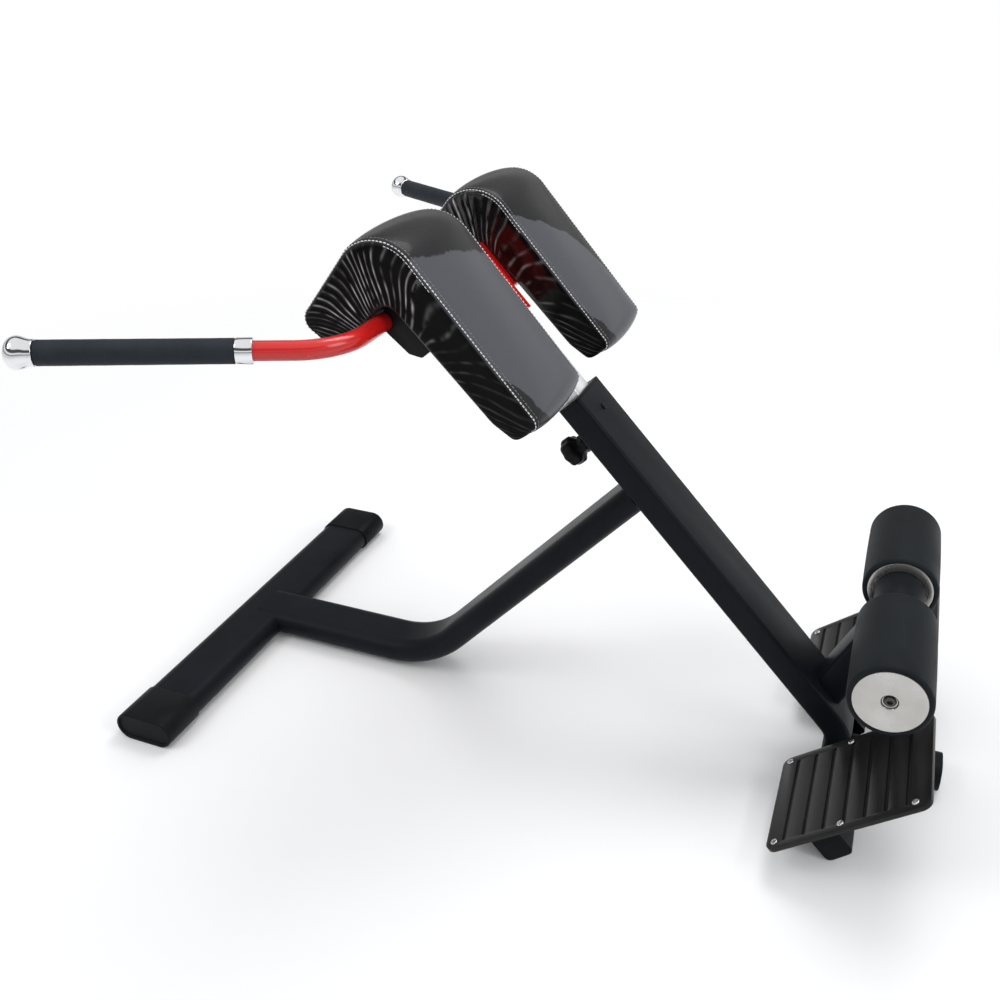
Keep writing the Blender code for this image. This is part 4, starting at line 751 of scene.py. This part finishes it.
for sign, side, label in sides:
    makeRoller(sign, side, label)
makeHub()
print("rollers, hub and end bolts modelled")

# Handlebar: one red tube, bent forward and outward at each end, with a collar, a grip and a cap
bar = {
    "radius": 0.0127, "station": -0.2583, "drop": 0.0563, "straight": 0.2856, "bend": 0.0910,
    "angle": math.radians(63.53), "lift": math.radians(1.45), "steps": 26, "around": 40,
    "collarStart": 0.049, "collarLength": 0.0213, "collarRadius": 0.0165, "gripRadius": 0.0160,
    "gripLength": 0.2357, "capLength": 0.037, "capRadius": 0.021, "capNeck": 0.0168, "capSleeve": 0.004,
    "capFlare": 0.0165,
    "intoCap": 0.013, "gap": 0.0003, "gripChamfer": 0.0014, "gripSteps": 40, "gripAround": 72,
}


def barPath(side):
    centre = onBeam(0.0, bar["station"], -bar["drop"])
    forward = Vector((0.0, -math.cos(bar["lift"]), math.sin(bar["lift"])))
    out = Vector((side, 0.0, 0.0))
    start = centre + out * bar["straight"]
    stations = []
    for step in range(bar["steps"] + 1):
        angle = bar["angle"] * step / bar["steps"]
        point = start + out * bar["bend"] * math.sin(angle) + forward * bar["bend"] * (1.0 - math.cos(angle))
        stations.append((point, out * math.cos(angle) + forward * math.sin(angle)))
    point, heading = stations[-1]
    end = bar["collarStart"] + bar["collarLength"] + bar["gripLength"] + bar["intoCap"]
    stations.append((point + heading * end, heading))
    return stations


def makeHandlebar():
    upright = Vector((0.0, math.sin(bar["lift"]), math.cos(bar["lift"])))
    path = [(point, -heading) for point, heading in reversed(barPath(-1))] + barPath(1)
    rings = []
    for point, heading in path:
        level = heading.cross(upright).normalized()
        ring = []
        for step in range(bar["around"]):
            angle = 2.0 * math.pi * step / bar["around"]
            ring.append(point + (level * math.cos(angle) + upright * math.sin(angle)) * bar["radius"])
        rings.append(ring)
    fit(wrapGrid("handlebar", rings), "carriage", "redPaint", ("handlebar",))


def makeGrip(sign, side, label):
    point, heading = barPath(sign)[-2]
    place = Matrix.Translation(point) @ heading.to_track_quat("X", "Z").to_matrix().to_4x4()
    bore = bar["radius"] + bar["gap"]
    start = bar["collarStart"]
    end = start + bar["collarLength"]
    profile = [(start, bore), (start, bar["collarRadius"]), (end, bar["collarRadius"]), (end, bore),
               (start, bore)]
    turnedPiece(f"collar{label}", profile, place, ("carriage", "capChrome"), (f"collar_{side}",), 0.0012)
    start = end + bar["gap"]
    end = start + bar["gripLength"] - 2 * bar["gap"]
    outside, chamfer = bar["gripRadius"], bar["gripChamfer"]
    profile = [(start, bore), (start, outside - chamfer), (start + chamfer, outside)]
    for step in range(1, bar["gripSteps"]):  # soft foam, a little uneven along its length
        share = step / bar["gripSteps"]
        sag = 0.00005 * math.sin(share * 31.0) + 0.00003 * math.sin(share * 77.0 + sign)
        profile.append((start + (end - start) * share, outside + sag - 0.0001))
    profile += [(end - chamfer, outside), (end, outside - chamfer), (end, bore), (start, bore)]
    turnedPiece(f"grip{label}", profile, place, ("carriage", "gripRubber"), (f"grip_{side}",),
                steps=bar["gripAround"])
    start = end + bar["gap"]
    end = start + bar["capLength"]
    neck, wide = bar["capNeck"], bar["capRadius"]
    flare = start + bar["capSleeve"]
    profile = [(start + 0.002, 0.0), (start + 0.002, bore), (start, bore), (start, neck - 0.0008),
               (start + 0.0003, neck - 0.0003), (start + 0.0008, neck), (flare, neck)]
    for step in range(1, 13):
        share = step / 12
        profile.append((flare + bar["capFlare"] * share,
                        neck + (wide - neck) * (0.5 - 0.5 * math.cos(math.pi * share))))
    crown = end - flare - bar["capFlare"]
    for step in range(13):
        angle = math.pi / 2 * step / 12
        profile.append((end - crown * (1.0 - math.sin(angle)), wide * math.cos(angle)))
    turnedPiece(f"gripCap{label}", profile, place, ("carriage", "capChrome"), (f"grip_cap_{side}",))


makeHandlebar()
for sign, side, label in sides:
    makeGrip(sign, side, label)
print("handlebar, collars, grips and caps modelled")

# Pull-pin housing and knob, under the beam
knob = {"station": 0.064, "housing": 0.0135, "housingLength": 0.030, "hex": 0.0155, "hexLength": 0.010,
        "bore": 0.0055, "radius": 0.0238, "length": 0.030, "lobes": 8, "scallop": 0.0011, "around": 128}


def makePlunger():
    axis = (-outOfBeam).to_track_quat("X", "Z").to_matrix().to_4x4()
    place = Matrix.Translation(onBeam(0.0, knob["station"], -beam["depth"])) @ axis
    end = knob["housingLength"]
    hexStart = end - knob["hexLength"]
    rings = turnedRings([(0.0, knob["bore"]), (0.0, knob["housing"] + 0.0015), (0.0015, knob["housing"]),
                         (hexStart, knob["housing"])], place)
    nut = ((hexStart, -0.0006), (hexStart + 0.0006, 0.0), (end - 0.0008, 0.0), (end, -0.0008))
    rings += turnedRings([(along, knob["hex"] + grow) for along, grow in nut], place, shape=sixSided)
    rings += turnedRings([(end, knob["bore"]), (0.0, knob["bore"])], place)
    fit(wrapGrid("plungerHousing", rings, 0.0003), "frame", "powderCoat", ("plunger_housing",))
    start = end + 0.0006
    stop = start + knob["length"]
    wide = knob["radius"]
    profile = [(start, 0.0), (start, 0.0128), (start + 0.003, 0.0136), (start + 0.006, 0.73 * wide),
               (start + 0.0085, 0.91 * wide), (start + 0.0105, 0.985 * wide), (start + 0.013, wide),
               (stop - 0.008, wide), (stop - 0.0045, 0.965 * wide), (stop - 0.002, 0.87 * wide),
               (stop - 0.0006, 0.70 * wide), (stop, 0.48 * wide), (stop - 0.0006, 0.34 * wide),
               (stop - 0.0008, 0.0)]

    def scalloped(radius, angle):
        wave = knob["scallop"] * (radius / knob["radius"]) ** 2 * (math.cos(knob["lobes"] * angle) - 1.0)
        return radius + wave

    rings = turnedRings(profile, place, knob["around"], scalloped)
    fit(wrapGrid("plungerKnob", rings, angle=60.0), "plunger", "blackPlastic", ("plunger_knob",))


makePlunger()

# Screws of the foot plates, each a domed head with a cross recess
plate = {"tilt": math.radians(39.4), "station": 0.648, "inner": 0.085, "outer": 0.281, "front": 0.1022,
         "columns": (0.095, 0.2675), "rows": (0.013, 0.117, 0.226), "head": 0.0052, "dome": 0.0024,
         "slotWide": 0.0011, "slotLong": 0.0034, "slotDeep": 0.0012, "rim": 0.0006,
         "cross": (25.0, 115.0), "twist": 17.0}


def makeScrews():
    tilted = Matrix.Translation(onBeam(0.0, plate["station"], 0.0)) @ Matrix.Rotation(plate["tilt"], 4, "X")
    size = (plate["slotLong"] * 2, plate["slotWide"], plate["slotDeep"] * 2)
    rim = plate["rim"]
    profile = [(0.0, 0.0), (0.0, plate["head"]), (rim, plate["head"])]
    for step in range(1, 7):
        angle = math.pi / 2 * step / 6
        profile.append((rim + (plate["dome"] - rim) * math.sin(angle), plate["head"] * math.cos(angle)))
    spots = [(column, row) for column in plate["columns"] for row in plate["rows"]]
    for sign, side, label in sides:
        for number, (column, row) in enumerate(spots, 1):
            place = tilted @ Matrix.Translation((sign * column, row - plate["front"], 0.0))
            stand = place @ Matrix.Rotation(-math.pi / 2, 4, "Y")
            screw = wrapGrid(f"plateScrew{label}{number}", turnedRings(profile, stand, 32))
            for turn in plate["cross"]:
                cross = place @ Matrix.Rotation(math.radians(turn + plate["twist"] * number), 4, "Z")
                cutBox(screw, cross @ Matrix.Translation((0.0, 0.0, plate["dome"])), size)
            smoothEdges(screw)
            fit(screw, "frame", "screwZinc")


makeScrews()
print("pull-pin and plate screws modelled")

# Pads: a bent cushion whose top panel is sewn to two pleated side panels
pad = {
    "inner": 0.070, "outer": 0.252, "apexY": 0.4117, "apexZ": 0.8809, "rearSlope": math.radians(48.4),
    "frontSlope": math.radians(53.3), "rearLength": 0.3405, "frontLength": 0.1920, "bendRadius": 0.062,
    "thick": 0.0535, "tipThick": 0.0425, "tipTaper": 0.038, "cornerRadius": 0.007,
    "lobeThick": 0.0695, "creaseAlong": 0.0924, "creaseDeep": 0.0645,
    "creaseRadius": 0.020, "tipRadius": 0.012, "lobeRadius": 0.017, "taperRadius": 0.030,
    "crown": 0.0085, "drawnIn": 0.0022, "rearSteps": 70, "frontSteps": 56, "acrossSteps": 20, "deepSteps": 13,
    "lobeSag": 0.0005, "frames": 20, "topCap": 0.0060, "sideCap": 0.0030,
    "pleats": 36, "fan": 0.42, "sparseFrom": 0.13, "sparse": 0.50, "pleatHeight": 0.0030, "boardThick": 0.012,
    # border of the painted reflection on the top panel, pale down the long face and dark round the bend: run from the
    # tip at the inner edge, slope and curl across
    "tide": {"right": (0.225, 0.045, 0.0), "left": (0.255, -0.120, -0.085)},
    # wedge at the tip, beside the seam nearest the right, where the painted reflection is left out and the dark tone
    # shows: its width and its run
    "wedge": (0.034, 0.085),
}
cushionCloth = {"quality": 5, "mass": 0.3, "tension_stiffness": 12.0, "compression_stiffness": 12.0,
                "bending_stiffness": 0.4, "use_pressure": True, "uniform_pressure_force": 4.0,
                "vertex_group_mass": "held"}
# gathers of the side panels: the first keys shape the pleats and how strong each one is; peak, glint and brightness
# set how bright their painted highlights are
gather = {
    "wander": (7.0, 1.6), "calmBehind": 0.6, "pickScale": 3.7, "strength": (0.62, 1.2), "strengthRange": (0.10, 1.25),
    "near": (0.06, 0.26), "lowRear": 0.11, "lowFront": 0.30, "endFade": 0.05, "valley": 0.30,
    "peak": (0.74, 0.28), "peakLevels": (0.36, 0.64), "glint": (0.70, 1.5), "glintScale": (24.0, 6.0),
    "brightness": 1.15,
}
thread = {
    # panel (1 top, -1 side), distance from the seam, radius, finish, first and last share of the seam
    "rows": ((1, 0.0007, 0.00075, "whiteThread", 0.0, 1.0), (1, 0.0072, 0.00050, "greyThread", 0.0, 1.0),
             (-1, 0.0045, 0.00050, "whiteThread", 0.44, 0.60)),
    "length": 0.0040, "pitch": 0.0054, "sink": 0.00010, "lobeOffset": 0.0022, "uneven": 0.35,
}


def filletArc(before, corner, after, radius, steps=10):
    inward = (before - corner).normalized()
    onward = (after - corner).normalized()
    half = inward.angle(onward) / 2
    reach = radius / math.tan(half)
    centre = corner + (inward + onward).normalized() * (radius / math.sin(half))
    start, end = corner + inward * reach - centre, corner + onward * reach - centre
    points = []
    for step in range(steps + 1):
        points.append(centre + start.slerp(end, step / steps).normalized() * radius)
    return points


def runsAlong(points):  # the way from the first point to each one
    runs = [0.0]
    for before, after in zip(points, points[1:]):
        runs.append(runs[-1] + (after - before).length)
    return runs


def evenly(points, count):
    lengths = runsAlong(points)
    result = []
    index = 0
    for step in range(count + 1):
        want = lengths[-1] * step / count
        while index < len(points) - 2 and lengths[index + 1] < want:
            index += 1
        span = lengths[index + 1] - lengths[index]
        result.append(points[index].lerp(points[index + 1], (want - lengths[index]) / span))
    return result


def padCurves():  # outer and inner curve in the side view, from the tip's end to the lobe's end, and normals
    def flat(y, z):
        return Vector((y, z))

    rear = flat(math.cos(pad["rearSlope"]), -math.sin(pad["rearSlope"]))
    rearOut = flat(math.sin(pad["rearSlope"]), math.cos(pad["rearSlope"]))
    front = flat(-math.cos(pad["frontSlope"]), -math.sin(pad["frontSlope"]))
    frontOut = flat(-math.sin(pad["frontSlope"]), math.cos(pad["frontSlope"]))
    apex = flat(frontY + pad["apexY"], pad["apexZ"])
    tip = apex + rear * pad["rearLength"]
    lobe = apex + front * pad["frontLength"]
    lobeIn = lobe - frontOut * pad["lobeThick"]
    crease = apex + rear * pad["creaseAlong"] - rearOut * pad["creaseDeep"]
    taper = tip - rearOut * pad["thick"] - rear * pad["tipTaper"]
    tipUnder = tip - rearOut * pad["tipThick"]
    tipMiddle = (tip + tipUnder) / 2
    lobeMiddle = (lobe + lobeIn) / 2
    outerArc = filletArc(tip, apex, lobe, pad["bendRadius"], 24)
    innerArc = filletArc(taper, crease, lobeIn, pad["creaseRadius"], 6)
    outer = evenly([tipMiddle] + filletArc(tipUnder, tip, apex, pad["tipRadius"]) + outerArc[:13],
                   pad["rearSteps"])
    outer += evenly(outerArc[12:] + filletArc(apex, lobe, lobeIn, pad["lobeRadius"]) + [lobeMiddle],
                    pad["frontSteps"])[1:]
    inner = evenly([tipMiddle] + filletArc(tip, tipUnder, taper, pad["tipRadius"])
                   + filletArc(tipUnder, taper, crease, pad["taperRadius"]) + innerArc[:4], pad["rearSteps"])
    sagged = evenly(innerArc[3:] + filletArc(crease, lobeIn, lobe, pad["lobeRadius"]) + [lobeMiddle],
                    pad["frontSteps"])[1:]
    for index, point in enumerate(sagged):
        share = min(1.0, (index + 1) / (0.90 * pad["frontSteps"]))
        point -= frontOut * pad["lobeSag"] * math.sin(math.pi * share) ** 0.35
    inner += sagged
    heart = inner[pad["rearSteps"]].lerp(outer[pad["rearSteps"]], 0.3)
    return outer, inner, curveNormals(outer, heart)


def cornerCut(point):  # how far a side comes in where the tip's corners are round in plan
    rear = Vector((math.cos(pad["rearSlope"]), -math.sin(pad["rearSlope"])))
    reach = (point - Vector((frontY + pad["apexY"], pad["apexZ"]))).dot(rear)
    depth = max(0.0, pad["rearLength"] - reach)
    radius = pad["cornerRadius"]
    return radius - math.sqrt(radius ** 2 - max(0.0, radius - depth) ** 2)


def curveNormals(points, away):
    normals = []
    for index in range(len(points)):
        run = points[min(index + 1, len(points) - 1)] - points[max(index - 1, 0)]
        normal = Vector((run.y, -run.x)).normalized()
        normals.append(normal if normal.dot(points[index] - away) > 0.0 else -normal)
    return normals


def padMesh(name, sign, label):  # four sheets that share their edges: top, underside and two sides
    outer, inner, normals = padCurves()
    last = len(outer) - 1
    width = pad["outer"] - pad["inner"]
    middleX = sign * (pad["inner"] + pad["outer"]) / 2
    borderRun, borderSlope, borderCurl = pad["tide"][label]
    runs = runsAlong(outer)
    mesh = bpy.data.meshes.new(name)
    bm = bmesh.new()
    layers = [bm.verts.layers.float.new(mark) for mark in
              ("along", "deep", "sidePanel", "rest", "tide", "crest", "pleat", "wrap")]
    along, deep, side, rest, tide, crest, pleat, wrap = layers
    wedgeWidth, wedgeRun = pad["wedge"]

    def vertex(x, point, marks):
        made = bm.verts.new((middleX + x * (1.0 - 2.0 * cornerCut(point) / width), point.x, point.y))
        made[along], made[deep], made[side], made[rest] = marks
        across = 0.5 + sign * x / width
        border = borderRun + borderSlope * across + borderCurl * max(0.0, across) ** 6
        run = runs[round(marks[0] * last)] - pad["tipRadius"]
        wedge = wedgeWidth * (1.0 - run / wedgeRun) - (width / 2 - x)
        # signed distance to the border of the painted reflection: pale below zero, dark above; the wedge keeps the
        # painted reflection off the tip's corner
        made[tide] = max(run - border, wedge)
        made[crest] = made[pleat] = 0.0
        made[wrap] = vinyl["topCoat"]
        if marks[2] > 0.5:
            dull, glossy = vinyl["innerCoatRun"]
            reach = max(0.0, min(1.0, (run - dull) / (glossy - dull)))
            made[wrap] = vinyl["innerCoat"] * reach if x * sign < 0.0 else 0.0
        return made

    def sheet(rows):
        for low, high in zip(rows, rows[1:]):
            for a, b, c, d in zip(low, low[1:], high[1:], high):
                corners = []
                for corner in (a, b, c, d):
                    if corner not in corners:
                        corners.append(corner)
                if len(corners) > 2:
                    bm.faces.new(corners)

    stations = [step / pad["acrossSteps"] for step in range(pad["acrossSteps"] + 1)]
    top, under = [], []
    for share in stations:
        x = (share - 0.5) * width
        swell = math.sin(math.pi * share) ** 0.55 if 0.0 < share < 1.0 else 0.0
        edge = 1.0 if share in (0.0, 1.0) else 0.0
        topRow = []
        for index, point in enumerate(outer):
            raised = point + normals[index] * pad["crown"] * swell
            topRow.append(vertex(x, raised, (index / last, 0.0, 0.0, edge)))
        underRow = [topRow[0]]
        for index in range(1, last):
            underRow.append(vertex(x, inner[index], (index / last, 1.0, 0.0, 1.0)))
        underRow.append(topRow[-1])
        top.append(topRow)
        under.append(underRow)
    sheet(top)
    sheet(under)
    for rows, outward in ((0, -1.0), (-1, 1.0)):
        panel = [top[rows]]
        for step in range(1, pad["deepSteps"]):
            share = step / pad["deepSteps"]
            sunk = pad["drawnIn"] * math.sin(math.pi * share) ** 0.5
            row = [top[rows][0]]
            for index in range(1, last):
                point = outer[index].lerp(inner[index], share)
                row.append(vertex(outward * (width / 2 - sunk), point, (index / last, share, 1.0, 0.0)))
            row.append(top[rows][-1])
            panel.append(row)
        panel.append(under[rows])
        sheet(panel)
    bmesh.ops.recalc_face_normals(bm, faces=bm.faces)
    if bm.calc_volume(signed=True) < 0.0:
        bmesh.ops.reverse_faces(bm, faces=bm.faces)
    bm.to_mesh(mesh)
    bm.free()
    piece = bpy.data.objects.new(name, mesh)
    bpy.context.scene.collection.objects.link(piece)
    return piece


def readMark(piece, name):
    values = [0.0] * len(piece.data.vertices)
    piece.data.attributes[name].data.foreach_get("value", values)
    return values


def puffPad(piece):  # cloth under pressure between the seams, each point's way capped
    before = [vertex.co.copy() for vertex in piece.data.vertices]
    rest = readMark(piece, "rest")
    sidePanel = readMark(piece, "sidePanel")
    held = piece.vertex_groups.new(name="held")
    for index, weight in enumerate(rest):
        if weight > 0.5:
            held.add([index], 1.0, "REPLACE")
    selectOnly(piece)
    cloth = piece.modifiers.new("Cloth", "CLOTH")
    for key, value in cushionCloth.items():
        setattr(cloth.settings, key, value)
    cloth.settings.effector_weights.gravity = 0.0
    cloth.point_cache.frame_start = 1
    cloth.point_cache.frame_end = pad["frames"]
    for step in range(1, pad["frames"] + 1):
        bpy.context.scene.frame_set(step)
    bpy.ops.object.modifier_apply(modifier=cloth.name)
    bpy.context.scene.frame_set(1)
    farthest = 0.0
    for index, vertex in enumerate(piece.data.vertices):
        moved = vertex.co - before[index]
        cap = pad["sideCap"] if sidePanel[index] > 0.5 else pad["topCap"]
        farthest = max(farthest, moved.length)
        if moved.length > cap:
            vertex.co = before[index] + moved.normalized() * cap
    print("cloth moved", piece.name, "by up to", round(farthest * 1000, 1), "mm before the cap")


def pleatPad(piece, seed):  # gathers fan out from the crease, close round the bend and rare behind it
    along = readMark(piece, "along")
    deep = readMark(piece, "deep")
    sidePanel = readMark(piece, "sidePanel")
    paintedGlints = [0.0] * len(along)
    pleats = [0.0] * len(along)
    bend = pad["rearSteps"] / (pad["rearSteps"] + pad["frontSteps"])
    wanderRun, wanderDeep = gather["wander"]
    base, spread = gather["strength"]
    weakest, strongest = gather["strengthRange"]
    nearAt, nearWidth = gather["near"]
    peakAt, peakWidth = gather["peak"]
    peakLow, peakRise = gather["peakLevels"]
    dim, bright = gather["glint"]
    glintRun, glintDeep = gather["glintScale"]
    for index, vertex in enumerate(piece.data.vertices):
        if sidePanel[index] < 0.05:
            continue
        u, v = along[index], deep[index]
        fan = (u - bend) / (1.0 - pad["fan"] * v)
        behind = max(0.0, -fan - pad["sparseFrom"])
        calm = 1.0 if behind == 0.0 else gather["calmBehind"]
        wander = noise.noise(Vector((fan * wanderRun, v * wanderDeep, seed))) * calm
        phase = pad["pleats"] * (fan + (1.0 - pad["sparse"]) * behind) + wander
        pick = noise.noise(Vector((math.floor(phase + 0.5) * gather["pickScale"], seed, 0.5)))
        strength = min(strongest, max(weakest, base + spread * pick))
        near = math.exp(-((fan - nearAt) / nearWidth) ** 2)
        low = gather["lowRear"] if fan < 0.0 else gather["lowFront"]
        strength *= low + (1.0 - low) * near
        ends = max(0.0, min(1.0, (1.0 - u) / gather["endFade"], u / gather["endFade"]))
        fade = min(1.0, v / gather["endFade"]) * max(0.0, 1.0 - v) ** 0.6 * ends
        ridge = (0.5 + 0.5 * math.cos(2.0 * math.pi * phase)) ** 2.0
        outward = 1.0 if vertex.normal.x > 0.0 else -1.0
        vertex.co.x += (outward * pad["pleatHeight"] * strength * fade * sidePanel[index]
                        * (ridge - gather["valley"]))
        pleats[index] = phase
        # painted highlights on the gathers: how bright the light streak painted along each one is, strongest part way
        # down the panel
        peak = peakLow + peakRise * math.exp(-((v - peakAt) / peakWidth) ** 2)
        reach = min(1.0, v / 0.06) * min(1.0, (1.0 - v) / 0.04) * peak
        glint = dim + bright * noise.noise(Vector((fan * glintRun, v * glintDeep, seed + 4.0)))
        paintedGlints[index] = max(0.0, min(1.0, gather["brightness"] * strength * reach * ends * glint))
    piece.data.attributes["crest"].data.foreach_set("value", paintedGlints)
    piece.data.attributes["pleat"].data.foreach_set("value", pleats)


def cutBoardPocket(piece, side):
    low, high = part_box(f"pad_board_{side}")
    board = nodes[f"pad_board_{side}"]
    corners = [vertex.co for vertex in board.data.vertices]
    heights = [(corner - beamTop).dot(outOfBeam) for corner in corners]
    runs = [(corner - beamTop).dot(downBeam) for corner in corners]
    gap = 0.0005
    middleX, sizeX = (low.x + high.x) / 2, high.x - low.x + 2 * gap
    start, end = min(runs) - gap, max(runs) + gap
    bottom, top = min(heights) - pad["boardThick"], max(heights) + gap
    turn = Matrix((Vector((1.0, 0.0, 0.0)), downBeam, outOfBeam)).transposed().to_4x4()
    place = Matrix.Translation(onBeam(middleX, (start + end) / 2, (bottom + top) / 2)) @ turn
    cutBox(piece, place, (sizeX, end - start, top - bottom))


def stitchPad(piece, name, middleX):  # rows of thread along each seam, laid on the finished surface
    outer, _, normals = padCurves()
    tree = BVHTree.FromObject(piece, bpy.context.evaluated_depsgraph_get())
    width = (pad["outer"] - pad["inner"]) / 2
    lengths = runsAlong(outer)

    def onSeam(run):
        index = 0
        while index < len(lengths) - 2 and lengths[index + 1] < run:
            index += 1
        share = (run - lengths[index]) / (lengths[index + 1] - lengths[index])
        return outer[index].lerp(outer[index + 1], share), normals[index].lerp(normals[index + 1], share)

    for number, (panel, offset, radius, finishName, first, last) in enumerate(thread["rows"], 1):
        bm = bmesh.new()
        for edge in (-1, 1):
            run = max(0.004, first * lengths[-1])
            stop = min(lengths[-1] - 0.004, last * lengths[-1])
            while run + thread["length"] < stop:
                stitch = []
                for step in range(5):
                    point, normal = onSeam(run + thread["length"] * step / 4)
                    half = width - cornerCut(point)
                    if panel > 0:
                        ease = max(0.0, min(1.0, (run / lengths[-1] - 0.62) / 0.08))
                        inset = offset + thread["lobeOffset"] * ease
                        aim = Vector((middleX + edge * (half - inset), point.x, point.y))
                    else:
                        low = point - normal * offset
                        aim = Vector((middleX + edge * half, low.x, low.y))
                    found, facing, _, _ = tree.find_nearest(aim)
                    lift = radius * math.sin(math.pi * step / 4) ** 0.5 - thread["sink"]
                    stitch.append((found + facing * lift, facing))
                rings = []
                slack = 1.0 + thread["uneven"] * noise.noise(Vector((run * 400.0, edge, offset * 900.0)))
                for step, (point, facing) in enumerate(stitch):
                    before, after = stitch[max(step - 1, 0)][0], stitch[min(step + 1, 4)][0]
                    ahead = (after - before).normalized()
                    level = ahead.cross(facing).normalized()
                    size = slack * radius * (0.55 if step in (0, 4) else 1.0)
                    rings.append([bm.verts.new(point + (level * math.cos(math.pi * k / 3)
                                                        + facing * math.sin(math.pi * k / 3)) * size)
                                  for k in range(6)])
                for low, high in zip(rings, rings[1:]):
                    for k in range(6):
                        bm.faces.new((low[k], low[(k + 1) % 6], high[(k + 1) % 6], high[k]))
                bm.faces.new(list(reversed(rings[0])))
                bm.faces.new(rings[-1])
                run += thread["pitch"]
        bmesh.ops.recalc_face_normals(bm, faces=bm.faces)
        mesh = bpy.data.meshes.new(f"{name}{number}")
        bm.to_mesh(mesh)
        bm.free()
        stitches = bpy.data.objects.new(f"{name}{number}", mesh)
        bpy.context.scene.collection.objects.link(stitches)
        smoothEdges(stitches, angle=75.0)
        fit(stitches, "carriage", finishName)


def makePad(sign, side, label):
    piece = padMesh(f"pad{label}", sign, side)
    puffPad(piece)
    applyModifier(piece, "SUBSURF", levels=1, render_levels=1)
    pleatPad(piece, 1.7 * sign)
    cutBoardPocket(piece, side)
    smoothEdges(piece, angle=60.0)
    fit(piece, "carriage", "padVinyl", (f"pad_{side}",))
    stitchPad(piece, f"padStitches{label}", sign * (pad["inner"] + pad["outer"]) / 2)


for sign, side, label in sides:
    makePad(sign, side, label)
print("pads inflated, pleated and stitched")
